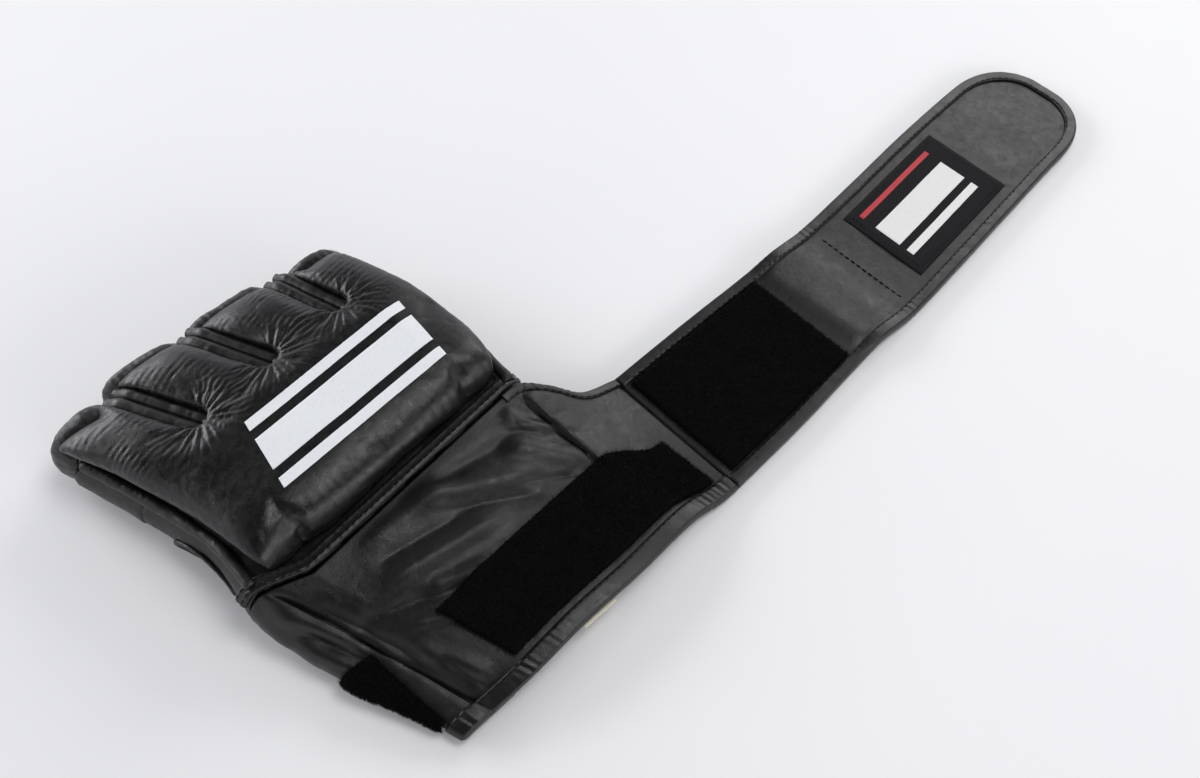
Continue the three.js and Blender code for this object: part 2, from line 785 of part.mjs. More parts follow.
// Middle surface of the back of the cuff: u from the crease to the strap, v from seam to end
function cuffSurface(u, v) {
  const at = (column) => along(cuffStations, column, u);
  const topX = at('topX') * cuffWidth;
  const endX = at('endX') * cuffWidth;
  const topY = seamY(topX) - edgeGap - at('topY') * cuffLength;
  const endY = seamMiddle - at('endY') * cuffLength;
  const topZ = at('topZ') * wristHeight;
  const endZ = at('endZ') * wristHeight;
  const bow = at('midZ') * wristHeight - (topZ + endZ) / 2;
  const floor = strapLevel;
  const z = lerp(topZ, endZ, v) + 4 * bow * v * (1 - v);
  return new THREE.Vector3(lerp(topX, endX, v), lerp(topY, endY, v), Math.max(z, floor));
}

const cuffU = [
  0, 0.05, 0.103, 0.16, 0.24, 0.32, 0.41, 0.5, 0.58, 0.66, 0.72, 0.78, 0.81, 0.84, 0.865, 0.89, 0.915,
  0.94, 0.97, 1,
];
const cuffInset = (bindingWall + gap) / cuffLength;
const cuffV = [0, 0.12, 0.25, 0.38, 0.5, 0.62, 0.74, 0.86, 1 - cuffInset];

function cuffBackPanel() {
  return sheet(cuffSurface, cuffU, cuffV, -leather / 2, leather / 2);
}

// Middle surface of the side of the cuff: u from the crease round to the inner edge under it
function sideSurface(u, v) {
  const crease = cuffSurface(0, v);
  const at = (column) => along(sideSections, column, v);
  const footX = at('footX') * cuffWidth;
  const lowZ = leather / 2;
  const sideX = at('sideX') * cuffWidth;
  const sideZ = at('sideZ') * wristHeight;
  const profile = [
    { at: 0.00, x: crease.x - edgeGap - gap, z: crease.z - gap },
    { at: 0.12, x: at('crownX') * cuffWidth, z: at('crownZ') * wristHeight },
    { at: 0.26, x: lerp(at('crownX') * cuffWidth, sideX, 0.8), z: lerp(at('crownZ') * wristHeight, sideZ, 0.5) },
    { at: 0.38, x: sideX, z: sideZ },
    { at: 0.52, x: lerp(sideX, footX, 0.25), z: lerp(sideZ, lowZ, 0.72) },
    { at: 0.66, x: footX, z: lowZ },
    { at: 1.00, x: flapEdge * cuffWidth, z: lowZ },
  ];
  const z = Math.max(along(profile, 'z', u), lowZ);
  const x = along(profile, 'x', u);
  return new THREE.Vector3(x, crease.y + (seamY(x) - seamY(crease.x)) * (1 - v), z);
}

// The side panel turns under itself, so its thickness is laid off square to its own section
function sideFrame(surface, u, v) {
  const step = 1e-3;
  const ahead = surface(Math.min(u + step, 1), v).sub(surface(Math.max(u - step, 0), v));
  const normal = new THREE.Vector3(ahead.z, 0, -ahead.x).normalize();
  return { point: surface(u, v), normal };
}

const sideU = [0, 0.06, 0.12, 0.19, 0.26, 0.32, 0.38, 0.45, 0.52, 0.59, 0.66, 0.8, 1];
const sideV = [0, 0.14, 0.28, 0.42, 0.56, 0.7, 0.85, 1 - cuffInset];

function cuffSidePanel() {
  return sheet(sideSurface, sideU, sideV, -leather / 2, leather / 2, sideFrame);
}

// Middle surface of the strap: u along it, v across it from the lower edge to the upper one
function strapSurface(u, v) {
  const at = (column) => along(strapStations, column, u);
  const tipShare = tipLength / strapLength;
  const intoTip = Math.max(0, (u - (1 - tipShare)) / tipShare);
  const round = (1 - (0.985 * intoTip) ** tipPower) ** (1 / tipPower);
  const inset = bindingWall + gap;
  const half = (at('width') * strapHalfWidth - inset) * round;
  const middle = seamMiddle - at('y') * cuffLength;
  const x = strapStart + u * (strapLength - inset);
  const z = strapLevel + Math.max(at('lift'), 0) * strapLeather;
  return new THREE.Vector3(x, middle + (2 * v - 1) * half, z);
}

const strapU = [
  0, 0.08, 0.16, 0.24, 0.29, 0.32, 0.35, 0.385, 0.42, 0.48, 0.54, 0.63, 0.72, 0.8, 0.874,
  0.9, 0.925, 0.95, 0.97, 0.985, 0.995, 1,
];

const strapV = shares(6);

function strapBody() {
  return sheet(strapSurface, strapU, strapV, -strapLeather / 2, strapLeather / 2);
}

// Folded tape round an edge: its section wraps a sheet of the given thickness
function tapeSection(thickness, width) {
  const inner = thickness / 2 + gap;
  const outer = inner + bindingWall;
  const back = -(bindingWall + gap);
  return [
    new THREE.Vector2(width, -outer),
    new THREE.Vector2(width, -inner),
    new THREE.Vector2(-gap, -inner),
    new THREE.Vector2(-gap, inner),
    new THREE.Vector2(width, inner),
    new THREE.Vector2(width, outer),
    new THREE.Vector2(back * 0.4, outer),
    new THREE.Vector2(back, inner * 0.8),
    new THREE.Vector2(back, -inner * 0.8),
    new THREE.Vector2(back * 0.4, -outer),
  ];
}

// Tape along an edge: each stop has the edge's point, the way into the sheet and the normal
function tape(stops, thickness, width) {
  const section = tapeSection(thickness, width);
  const rings = stops.map(({ point, inward, normal }) => section.map(({ x, y }) => point.clone()
    .addScaledVector(inward, x)
    .addScaledVector(normal, y)));
  return sweptBody(rings, capOf(section));
}

// Stop of a tape on a sheet's end, with the way into the sheet along the surface itself
function endStop(surface, frames, u, end, width) {
  const { point, normal } = frames(surface, u, end);
  const inside = surface(u, end - width / cuffLength);
  return { point, inward: inside.sub(point).normalize(), normal };
}

// Stops of a tape on a surface's edge, with the way into the sheet square to the edge
function edgeStops(surface, spots) {
  const points = spots.map(({ u, v }) => surface(u, v));
  return spots.map(({ u, v }, index) => {
    const before = points[Math.max(index - 1, 0)];
    const after = points[Math.min(index + 1, points.length - 1)];
    const { point, normal } = frameOn(surface, u, v);
    const inward = new THREE.Vector3().crossVectors(normal, after.clone().sub(before)).normalize();
    return { point, inward, normal };
  });
}

function edgeBindingCuff() {
  const spots = within(cuffU, 0, 1 - 0.5 * gap / strapStart);
  const stops = spots.map((u) => endStop(cuffSurface, frameOn, u, 1 - cuffInset, bindingWidth));
  return tape(stops, leather, bindingWidth);
}

function edgeBindingSide() {
  const spots = within(sideU, 0.02, 0.38).reverse();
  const stops = spots.map((u) => endStop(sideSurface, sideFrame, u, 1 - cuffInset, bindingWidth));
  return tape(stops, leather, bindingWidth);
}

function edgeBindingStrap() {
  const skipStart = strapU.slice();
  skipStart[0] = 0.5 * gap / strapLength;
  const spots = [
    ...skipStart.map((u) => ({ u, v: 0 })),
    { u: 1, v: 0.5 },
    ...skipStart.slice().reverse().map((u) => ({ u, v: 1 })),
  ];
  return tape(edgeStops(strapSurface, spots), strapLeather, strapBindingWidth);
}

function edgeBindingNotch() {
  const start = 1 - 0.5 * gap / strapStart;
  const spots = within(cuffU, 0.78, start).reverse().map((u) => ({ u, v: 0 }));
  return tape(edgeStops(cuffSurface, spots), leather, notchBindingWidth);
}

// Patches: thin sheets over a range of a surface, sampled where the surface's own sheet is
function between(low, high, count) {
  return shares(count).map((share) => lerp(low, high, share));
}

const stripOverEdge = bindingWidth + gap;

function cuffLoopPatch() {
  const low = leather / 2 + gap;
  const end = 1 - cuffInset - 1.25 * stripOverEdge / cuffLength;
  return sheet(cuffSurface, within(cuffU, 0.165, 0.955), within(cuffV, 0.5, end), low, low + pile);
}

function strapLoopPatch() {
  const low = strapLeather / 2 + gap;
  const edge = (strapBindingWidth + 1.5 * gap) / (2 * (strapHalfWidth - bindingWall - gap));
  return sheet(strapSurface, within(strapU, 0.012, 0.288), within(strapV, edge, 1 - edge), low, low + pile);
}

function sideLoopPatch() {
  const low = leather / 2 + gap;
  const range = [within(sideU, 0.1, 0.47), within(sideV, 0.48, 0.88)];
  return sheet(sideSurface, ...range, low, low + sidePile, sideFrame);
}

function strapHookPatch() {
  const low = -strapLeather / 2 - gap;
  return sheet(strapSurface, between(0.45, 0.88, 5), between(0.12, 0.88, 3), low - hookThickness, low);
}

function labelPatch() {
  const low = strapLeather / 2 + gap;
  const start = 0.497;
  const middle = 0.5;
  const across = labelWidth / (2 * strapHalfWidth);
  return sheet(
    strapSurface,
    between(start, start + labelLength / strapLength, 5),
    between(middle - across / 2, middle + across / 2, 3),
    low,
    low + labelThickness,
  );
}

// Small tag sewn under the end of the cuff, so that its end shows below the binding
function careTag() {
  const depth = leather / 2 + 2 * gap + bindingWall;
  const past = 1 + bindingWall / cuffLength;
  const start = 0.31;
  return sheet(
    (u, v) => cuffSurface(u, Math.min(v, 1)).add(cuffSurface(u, 1).sub(cuffSurface(u, 0.99))
      .multiplyScalar(100 * Math.max(v - 1, 0))),
    between(start, start + tagWidth / cuffWidth, 3),
    between(past - tagLength / cuffLength, past, 3),
    -depth - tagThickness,
    -depth,
    (surface, u, v) => ({ point: surface(u, v), normal: frameOn(cuffSurface, u, Math.min(v, 0.998)).normal }),
  );
}

// Materials
const finishes = {
  padLeather: { color: 0x1b1b1e, roughness: 0.42, metalness: 0 },
  softLeather: { color: 0x26262a, roughness: 0.5, metalness: 0 },
  binding: { color: 0x1f1f22, roughness: 0.45, metalness: 0 },
  loopPile: { color: 0x0b0b0c, roughness: 1, metalness: 0 },
  hook: { color: 0x141416, roughness: 0.8, metalness: 0 },
  woven: { color: 0x0e0e10, roughness: 0.85, metalness: 0 },
  tag: { color: 0xe6e0cc, roughness: 0.9, metalness: 0 },
};

const glove = new THREE.Group();
glove.position.set(0, -(seamMiddle + palmCentre), 0);

function addPiece(name, geometry, finish) {
  const mesh = new THREE.Mesh(geometry, new THREE.MeshStandardMaterial(finishes[finish]));
  mesh.name = name;
  glove.add(mesh);
}

addPiece('knuckle_pad', knucklePad(), 'padLeather');
addPiece('hand_shell', handShell(), 'softLeather');
for (let finger = 0; finger < fingerLines.length - 1; finger += 1) {
  addPiece(`finger_sleeve_${finger + 1}`, fingerSleeve(finger), 'softLeather');
  addPiece(`finger_rim_${finger + 1}`, fingerRim(finger), 'binding');
}
slots.forEach((slot, index) => {
  addPiece(`finger_roll_${index + 1}`, fingerRoll(slot), 'binding');
});
addPiece('side_roll_thumb', sideRoll(-1), 'softLeather');
addPiece('side_roll_pinky', sideRoll(1), 'softLeather');
addPiece('thumb_binding', thumbBinding(), 'binding');
addPiece('wrist_seam_binding', wristSeamBinding(), 'binding');
addPiece('cuff_back_panel', cuffBackPanel(), 'softLeather');
addPiece('cuff_side_panel', cuffSidePanel(), 'softLeather');
addPiece('strap', strapBody(), 'softLeather');
addPiece('edge_binding_cuff', edgeBindingCuff(), 'binding');
addPiece('edge_binding_side', edgeBindingSide(), 'binding');
addPiece('edge_binding_strap', edgeBindingStrap(), 'binding');
addPiece('edge_binding_notch', edgeBindingNotch(), 'binding');
addPiece('cuff_loop_patch', cuffLoopPatch(), 'loopPile');
addPiece('strap_loop_patch', strapLoopPatch(), 'loopPile');
addPiece('side_loop_patch', sideLoopPatch(), 'loopPile');
addPiece('strap_hook_patch', strapHookPatch(), 'hook');
addPiece('label_patch', labelPatch(), 'woven');
addPiece('care_tag', careTag(), 'tag');

export default glove;
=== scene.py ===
# Looks of the open-finger grappling glove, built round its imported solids.
# Work is done in millimetres with the wrist seam's middle as the origin, and turned into metres
# in the part's own frame when a mesh is made. Tables hold shares of the named sizes.

import math

import bpy
import numpy as np
from mathutils import Matrix, Vector
from mathutils.bvhtree import BVHTree


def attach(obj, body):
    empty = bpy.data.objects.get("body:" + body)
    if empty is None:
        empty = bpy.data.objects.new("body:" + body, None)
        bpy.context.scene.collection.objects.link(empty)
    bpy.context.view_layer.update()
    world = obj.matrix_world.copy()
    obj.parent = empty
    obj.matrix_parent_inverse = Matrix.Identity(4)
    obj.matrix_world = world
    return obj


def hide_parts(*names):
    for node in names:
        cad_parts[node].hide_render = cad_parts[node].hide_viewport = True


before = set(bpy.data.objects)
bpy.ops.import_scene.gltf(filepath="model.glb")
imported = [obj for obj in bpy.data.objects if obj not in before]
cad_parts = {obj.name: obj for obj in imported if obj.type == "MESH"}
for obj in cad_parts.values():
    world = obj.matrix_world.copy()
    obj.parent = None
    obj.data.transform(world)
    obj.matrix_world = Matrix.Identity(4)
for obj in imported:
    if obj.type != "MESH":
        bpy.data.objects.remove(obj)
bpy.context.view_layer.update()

# Sizes, as in the solids
GAP = 0.3
EDGE_GAP = 0.55
HAND_WIDTH = 134
HAND_LENGTH = 65
WRIST_HEIGHT = 25
SHOULDER = 10
LEATHER = 2
SEAM_MIDDLE = -3
PALM_CENTRE = 33
SEAM_SKEW = 0.093
SEAM_CURL = 9
CURL_START = 0.35
CURL_REACH = 0.15
FINGER_LENGTH = 40
SEAM_WIDTH = 5.6
SEAM_THICKNESS = 2.6
CUFF_WIDTH = 160
CUFF_LENGTH = 83
BINDING_WIDTH = 6.5
STRAP_BINDING_WIDTH = 4.6
NOTCH_BINDING_WIDTH = 3
BINDING_WALL = 1
STRAP_LENGTH = 284
STRAP_HALF_WIDTH = 33
STRAP_LEATHER = 2.4
TIP_LENGTH = 36
TIP_POWER = 2.4
TIP_END = 0.985
PILE = 2
SIDE_PILE = 1.5
HOOK_THICKNESS = 1
LABEL_THICKNESS = 0.8
LABEL_LENGTH = 73
LABEL_WIDTH = 47
CROSS_STITCHES = 0.437
TAG_LENGTH = 20
TAG_WIDTH = 17
TAG_THICKNESS = 0.5
FLAP_EDGE = -0.125
STRAP_LEVEL = BINDING_WALL + GAP + STRAP_LEATHER / 2
STRAP_START = 0.63 * CUFF_WIDTH
CUFF_INSET = (BINDING_WALL + GAP) / CUFF_LENGTH
ROOT_Y = HAND_LENGTH + SEAM_MIDDLE
GROUND_Y = -(SEAM_MIDDLE + PALM_CENTRE)
UP = np.array([0, 0, 1.0])


def table(columns, rows):
    """Columns of a table by name."""
    names = columns.split()
    return {name: np.array([row[i] for row in rows], float) for i, name in enumerate(names)}


CUFF = table("at topX topY topZ midZ endX endY endZ", [
    (0.00, -0.388, 0.000, 0.96, 0.52, -0.188, 1.000, 0.22),
    (0.15, -0.250, 0.000, 0.96, 0.66, -0.070, 1.010, 0.37),
    (0.32, -0.040, 0.000, 0.96, 0.72, 0.094, 1.000, 0.45),
    (0.50, 0.150, 0.000, 0.96, 0.68, 0.263, 1.000, 0.43),
    (0.66, 0.300, 0.000, 0.96, 0.56, 0.390, 0.985, 0.36),
    (0.76, 0.380, 0.013, 0.93, 0.44, 0.465, 0.975, 0.28),
    (0.84, 0.440, 0.095, 0.74, 0.32, 0.515, 0.975, 0.20),
    (0.92, 0.510, 0.212, 0.42, 0.20, 0.568, 0.985, 0.14),
    (1.00, 0.625, 0.255, 0.10, 0.10, 0.625, 0.985, 0.10),
])
SIDE = table("at crownX crownZ sideX sideZ footX", [
    (0.00, -0.412, 0.91, -0.444, 0.50, -0.405),
    (0.16, -0.378, 0.80, -0.434, 0.42, -0.390),
    (0.36, -0.331, 0.62, -0.400, 0.34, -0.356),
    (0.55, -0.294, 0.48, -0.366, 0.28, -0.331),
    (0.76, -0.256, 0.36, -0.310, 0.23, -0.288),
    (1.00, -0.225, 0.24, -0.268, 0.16, -0.250),
])
STRAP = table("at y width lift", [
    (0.00, 0.560, 1.07, 0.00),
    (0.15, 0.550, 1.05, 0.00),
    (0.29, 0.537, 1.00, 0.10),
    (0.35, 0.537, 0.99, 1.00),
    (0.42, 0.540, 1.00, 0.10),
    (0.54, 0.515, 1.00, 0.00),
    (0.72, 0.468, 1.00, 0.00),
    (0.88, 0.438, 0.98, 0.00),
    (1.00, 0.438, 0.98, 0.00),
])
HAND_SIDES = table("at thumb pinky", [
    (0.00, -0.535, 0.463),
    (0.35, -0.522, 0.489),
    (0.70, -0.548, 0.489),
    (1.00, -0.585, 0.478),
])
FINGERS = table("root tip reach", [
    (-0.585, -0.655, 0.76),
    (-0.299, -0.429, 0.96),
    (-0.022, -0.153, 1.09),
    (0.239, 0.157, 1.06),
    (0.478, 0.410, 0.93),
])
# Where the side's section has its points, as shares along it
SIDE_STATIONS = np.array([0, 0.12, 0.26, 0.38, 0.52, 0.66, 1.0])
# Slots between the lobes: the line that each is on and the share of it at which the slot starts
SLOTS = ((1, 0.02), (2, 0.12), (3, 0.18))
# Rolled gussets in the slots, in mm: start of the bend, half of their pitch, radii at the thumb's
# and the other side, and heights at the inner and the outer end
ROLL_REACH = 3.0
ROLL_HALF = 2.7
ROLL_RADII = (3.2, 2.7)
ROLL_HEIGHTS = (32.5, 29.0)


# Curves and surfaces
def lerp(a, b, t):
    return a + (b - a) * t


def smooth(x, low, high):
    t = np.clip((np.asarray(x, float) - low) / (high - low), 0, 1)
    return t * t * (3 - 2 * t)


def unit(rows):
    """Rows of vectors at length 1."""
    return rows / np.maximum(np.linalg.norm(rows, axis=-1, keepdims=True), 1e-9)


def curve_through(at, values, share):
    """Smooth curve through values at their shares, a row for each. A row may be an array."""
    last = len(at) - 1
    slopes = np.array([
        (values[min(i + 1, last)] - values[max(i - 1, 0)]) / (at[min(i + 1, last)] - at[max(i - 1, 0)])
        for i in range(last + 1)
    ])
    row = np.clip(np.searchsorted(at, share, side="left") - 1, 0, last - 1)

    def pick(rows, index):
        return rows[index] if rows.ndim == 1 else np.take_along_axis(rows, index[None], 0)[0]

    span = at[row + 1] - at[row]
    t = (share - at[row]) / span
    start = pick(values, row)
    rise = pick(values, row + 1) - start
    bend_start = pick(slopes, row) * span - rise
    bend_end = rise - pick(slopes, row + 1) * span
    return start + rise * t + t * (1 - t) * (bend_start * (1 - t) + bend_end * t)


def along(rows, column, share):
    """Smooth value of one column of a table at shares along it."""
    return curve_through(rows["at"], rows[column], np.asarray(share, float))


def seam_y(x):
    """y of the wrist seam's middle line, which runs askew and curls up at the thumb."""
    into = np.clip(-np.asarray(x, float) / HAND_WIDTH - CURL_START, 0, CURL_REACH) / CURL_REACH
    return SEAM_MIDDLE + SEAM_SKEW * x + SEAM_CURL * into


def stack(x, y, z):
    return np.stack(np.broadcast_arrays(x, y, z), -1).astype(float)


def cuff_surface(u, v):
    """The cuff's back: u from the thumb side to the strap, v from the seam to the open edge."""
    u, v = np.broadcast_arrays(np.asarray(u, float), np.asarray(v, float))
    top_x = along(CUFF, "topX", u) * CUFF_WIDTH
    end_x = along(CUFF, "endX", u) * CUFF_WIDTH
    top_y = seam_y(top_x) - EDGE_GAP - along(CUFF, "topY", u) * CUFF_LENGTH
    end_y = SEAM_MIDDLE - along(CUFF, "endY", u) * CUFF_LENGTH
    top_z = along(CUFF, "topZ", u) * WRIST_HEIGHT
    end_z = along(CUFF, "endZ", u) * WRIST_HEIGHT
    bow = along(CUFF, "midZ", u) * WRIST_HEIGHT - (top_z + end_z) / 2
    z = np.maximum(lerp(top_z, end_z, v) + 4 * bow * v * (1 - v), STRAP_LEVEL)
    return stack(lerp(top_x, end_x, v), lerp(top_y, end_y, v), z)


def side_surface(u, v):
    """The cuff's side: u from the crease at its top to the flap under it, v as on the back."""
    u, v = np.broadcast_arrays(np.asarray(u, float), np.asarray(v, float))
    crease = cuff_surface(0 * v, v)
    crown_x = along(SIDE, "crownX", v) * CUFF_WIDTH
    crown_z = along(SIDE, "crownZ", v) * WRIST_HEIGHT
    side_x = along(SIDE, "sideX", v) * CUFF_WIDTH
    side_z = along(SIDE, "sideZ", v) * WRIST_HEIGHT
    foot_x = along(SIDE, "footX", v) * CUFF_WIDTH
    low = LEATHER / 2
    xs = np.stack([crease[..., 0] - EDGE_GAP - GAP, crown_x, lerp(crown_x, side_x, 0.8), side_x,
                   lerp(side_x, foot_x, 0.25), foot_x, 0 * v + FLAP_EDGE * CUFF_WIDTH])
    zs = np.stack([crease[..., 2] - GAP, crown_z, lerp(crown_z, side_z, 0.5), side_z,
                   lerp(side_z, low, 0.72), 0 * v + low, 0 * v + low])

    x = curve_through(SIDE_STATIONS, xs, u)
    z = np.maximum(curve_through(SIDE_STATIONS, zs, u), low)
    y = crease[..., 1] + (seam_y(x) - seam_y(crease[..., 0])) * (1 - v)
    return stack(x, y, z)


def strap_surface(u, v):
    """The strap's middle layer: u from its start to its round tip, v across it."""
    u, v = np.broadcast_arrays(np.asarray(u, float), np.asarray(v, float))
    tip = TIP_LENGTH / STRAP_LENGTH
    into = np.clip((u - (1 - tip)) / tip, 0, None)
    rounding = (1 - (TIP_END * into) ** TIP_POWER) ** (1 / TIP_POWER)
    inset = BINDING_WALL + GAP
    half = (along(STRAP, "width", u) * STRAP_HALF_WIDTH - inset) * rounding
    middle = SEAM_MIDDLE - along(STRAP, "y", u) * CUFF_LENGTH
    z = STRAP_LEVEL + np.maximum(along(STRAP, "lift", u), 0) * STRAP_LEATHER
    return stack(STRAP_START + u * (STRAP_LENGTH - inset), middle + (2 * v - 1) * half, z)


def finger_point(index, share, past=0.0):
    """Point of a line between two fingers, in the plane."""
    run = np.array([(FINGERS["tip"][index] - FINGERS["root"][index]) * HAND_WIDTH,
                    FINGERS["reach"][index] * FINGER_LENGTH])
    start = np.array([FINGERS["root"][index] * HAND_WIDTH, ROOT_Y])
    return start + run * share + run / np.linalg.norm(run) * past


# Noise, folds and wrinkles
def lattice(cells, seed):
    """A steady random value from -1 to 1 for each cell."""
    h = cells[..., 0] * 374761393 + cells[..., 1] * 668265263 + cells[..., 2] * 2147483647 + seed * 974711
    h = (h ^ (h >> 13)) * 1274126177
    h = h ^ (h >> 16)
    return (h & 0xFFFFFF) / float(0xFFFFFF) * 2 - 1


def noise(points, size, seed=1):
    """Smooth noise from -1 to 1 with cells of the given size in mm."""
    p = np.asarray(points, float) / size
    base = np.floor(p).astype(np.int64)
    f = p - base
    f = f * f * (3 - 2 * f)
    total = 0
    for i in (0, 1):
        for j in (0, 1):
            for k in (0, 1):
                weight = (np.where(i, f[..., 0], 1 - f[..., 0]) * np.where(j, f[..., 1], 1 - f[..., 1])
                          * np.where(k, f[..., 2], 1 - f[..., 2]))
                total = total + weight * lattice(base + np.array([i, j, k]), seed)
    return total


def creases(points, size, width, seed):
    """Thin lines, 1 on a line and 0 between, that wander like creases in leather."""
    lines = np.exp(-(noise(points, size, seed) / width) ** 2)
    return lines * smooth(noise(points, size * 1.7, seed + 9), -0.1, 0.5)


def ridge(points, start, end, width, height, sharp=1.0):
    """Height of a fold that runs in the plane from start to end and fades out at both."""
    a, b = np.array(start, float), np.array(end, float)
    run = b - a
    flat = points[..., :2] - a
    t = (flat @ run) / (run @ run)
    across = (flat[..., 0] * run[1] - flat[..., 1] * run[0]) / np.linalg.norm(run)
    fade = smooth(t, -0.15, 0.2) * (1 - smooth(t, 0.8, 1.15))
    return height * fade * np.exp(-np.abs(across / width) ** (2 / sharp))


# Folds of the cuff's back, in mm: start, end, width and height, and how sharp they are
CUFF_FOLDS = (
    ((40, -14), (60, -38), 5.0, 2.6, 1.0),
    ((48, -4), (56, -20), 3.0, 1.4, 1.0),
    ((-2, -10), (42, -30), 5.0, 2.0, 1.0),
    ((4, -20), (36, -38), 3.0, -1.3, 1.0),
    ((-30, -28), (18, -35), 4.0, 2.0, 1.0),
    ((-26, -20), (10, -26), 2.6, -1.0, 1.0),
    ((-46, -32), (-8, -46), 3.4, -1.7, 1.0),
    ((-20, -40), (4, -47), 3.0, 1.6, 1.0),
    ((-34, -44), (-12, -56), 2.4, 1.1, 1.0),
    ((-54, -16), (-36, -60), 3.0, -1.8, 1.0),
    ((-38, -50), (-24, -76), 3.6, 1.5, 1.0),
    ((-32, -60), (-26, -78), 1.8, -0.9, 1.0),
    ((10, -10), (46, -14), 3.6, -1.4, 1.0),
    ((-26, -12), (14, -13), 4.0, 1.1, 1.0),
    ((34, -30), (52, -40), 1.6, -0.9, 1.0),
    ((44, -8), (66, -24), 1.8, 0.8, 1.0),
)


# Folds of the cuff's side, in mm: start, end, width and height
SIDE_FOLDS = (
    ((-66, -8), (-50, -36), 2.6, 1.7),
    ((-58, -10), (-46, -44), 2.2, -1.5),
    ((-66, -22), (-52, -50), 2.4, 1.4),
    ((-62, -20), (-52, -44), 1.8, -1.2),
)
# The edge of the layer under the strap's start, which shows through as a step: ends in mm
STEP_START, STEP_END = np.array([59.5, -2.0]), np.array([64.5, -42.0])
STEP_HEIGHT = 1.9
# Where the cuff's folds fade out towards the strap, as x in mm
CUFF_CALMS = (84, 98)
# Hump of the strap past the loop patch and dents before its tip: x, width and height in mm
STRAP_HUMP = (192, 5, 0.8)
STRAP_DIP = (202, 6, -0.5)
TIP_DENTS = (326, 13, 0.9)


def step_line(points):
    """A step up towards the strap, with a groove before it."""
    run = STEP_END - STEP_START
    flat = points[..., :2] - STEP_START
    t = (flat @ run) / (run @ run)
    beyond = (flat[..., 1] * run[0] - flat[..., 0] * run[1]) / np.linalg.norm(run)
    fade = smooth(t, -0.05, 0.15) * (1 - smooth(t, 0.9, 1.2))
    rise = smooth(beyond, -0.7, 0.8) * np.exp(-np.maximum(beyond, 0) / 14)
    groove = np.exp(-((beyond + 1.5) / 1.1) ** 2)
    return (STEP_HEIGHT * rise - 0.8 * groove) * fade


def cuff_drape(points):
    """How far the cuff's leather stands out of its even surface."""
    out = step_line(points) + sum(ridge(points, *fold) for fold in CUFF_FOLDS)
    out = out + 0.5 * noise(points, 22, 3) + 0.10 * noise(points, 8, 4) + 0.03 * noise(points, 3, 5)
    out = out - 0.12 * creases(points, 11, 0.10, 13) - 0.08 * creases(points, 6, 0.12, 17)
    return out * (1 - smooth(points[..., 0], *CUFF_CALMS))


def swell(x, middle, width, height):
    return height * np.exp(-((x - middle) / width) ** 2)


def strap_drape(points):
    """How far the strap's upper leather stands out of its even surface."""
    x = points[..., 0]
    wander = x + 2.5 * noise(points, 24, 6)
    hump = swell(wander, *STRAP_HUMP) + swell(wander, *STRAP_DIP)
    dents = noise(points, 17, 9) * swell(x, *TIP_DENTS)
    return hump + dents + 0.3 * noise(points, 26, 7) + 0.06 * noise(points, 6, 8)


# Meshes
def to_part(points):
    """Points in metres in the part's frame."""
    return (np.asarray(points, float).reshape(-1, 3) + np.array([0, GROUND_Y, 0])) / 1000


def add_mesh(name, points, faces, material, replaces=(), flat=False):
    """A new piece in the part's frame from points in mm."""
    mesh = bpy.data.meshes.new(name)
    mesh.from_pydata(to_part(points).tolist(), [], [tuple(int(i) for i in face) for face in faces])
    mesh.validate()
    mesh.update()
    obj = bpy.data.objects.new(name, mesh)
    bpy.context.collection.objects.link(obj)
    return finish_piece(obj, material, replaces, flat)


def finish_piece(obj, material, replaces=(), flat=False):
    obj.data.materials.clear()
    obj.data.materials.append(material)
    obj.data.polygons.foreach_set("use_smooth", [not flat] * len(obj.data.polygons))
    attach(obj, "root")
    if replaces:
        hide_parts(*replaces)
    return obj


def grid_normals(grid):
    return unit(np.cross(np.gradient(grid, axis=0), np.gradient(grid, axis=1)))


def upward(normals):
    return np.where(normals[..., 2:3] < 0, -normals, normals)


def outward_normals(grid, index, column):
    """Normals of a grid, turned so that they point up at one of its points."""
    normals = grid_normals(grid)
    return -normals if normals[index, column, 2] < 0 else normals


def sheet_faces(rows, columns, offset):
    """Faces of a closed sheet: its top, its bottom and the wall round its edge."""
    index = np.arange(rows * columns).reshape(rows, columns)
    a, b = index[:-1, :-1].ravel(), index[1:, :-1].ravel()
    c, d = index[1:, 1:].ravel(), index[:-1, 1:].ravel()
    upper = np.stack([a + offset, b + offset, c + offset, d + offset], 1)
    lower = np.stack([a, d, c, b], 1)
    ring = np.concatenate([index[:, 0], index[-1, 1:], index[-2::-1, -1], index[0, -2:0:-1]])
    after = np.roll(ring, -1)
    wall = np.stack([ring, after, after + offset, ring + offset], 1)
    return np.concatenate([upper, lower, wall])


def sheet_mesh(name, grid, normals, low, high, material, replaces=()):
    """Closed sheet between two heights over a grid of points. The heights may be arrays."""
    lower = grid + normals * np.asarray(low, float).reshape(np.shape(low) + (1,) * (3 - np.ndim(low)))
    upper = grid + normals * np.asarray(high, float).reshape(np.shape(high) + (1,) * (3 - np.ndim(high)))
    rows, columns = grid.shape[:2]
    faces = sheet_faces(rows, columns, rows * columns)
    points = np.concatenate([lower.reshape(-1, 3), upper.reshape(-1, 3)])
    return add_mesh(name, points, faces, material, replaces)


def tube_faces(rows, columns):
    """Faces of a tube of rings, with a cap at both ends."""
    index = np.arange(rows * columns).reshape(rows, columns)
    near, following = index[:-1], index[1:]
    faces = np.stack([near, following, np.roll(following, -1, 1), np.roll(near, -1, 1)], -1).reshape(-1, 4)
    return [tuple(face) for face in faces] + [tuple(index[0]), tuple(index[-1][::-1])]


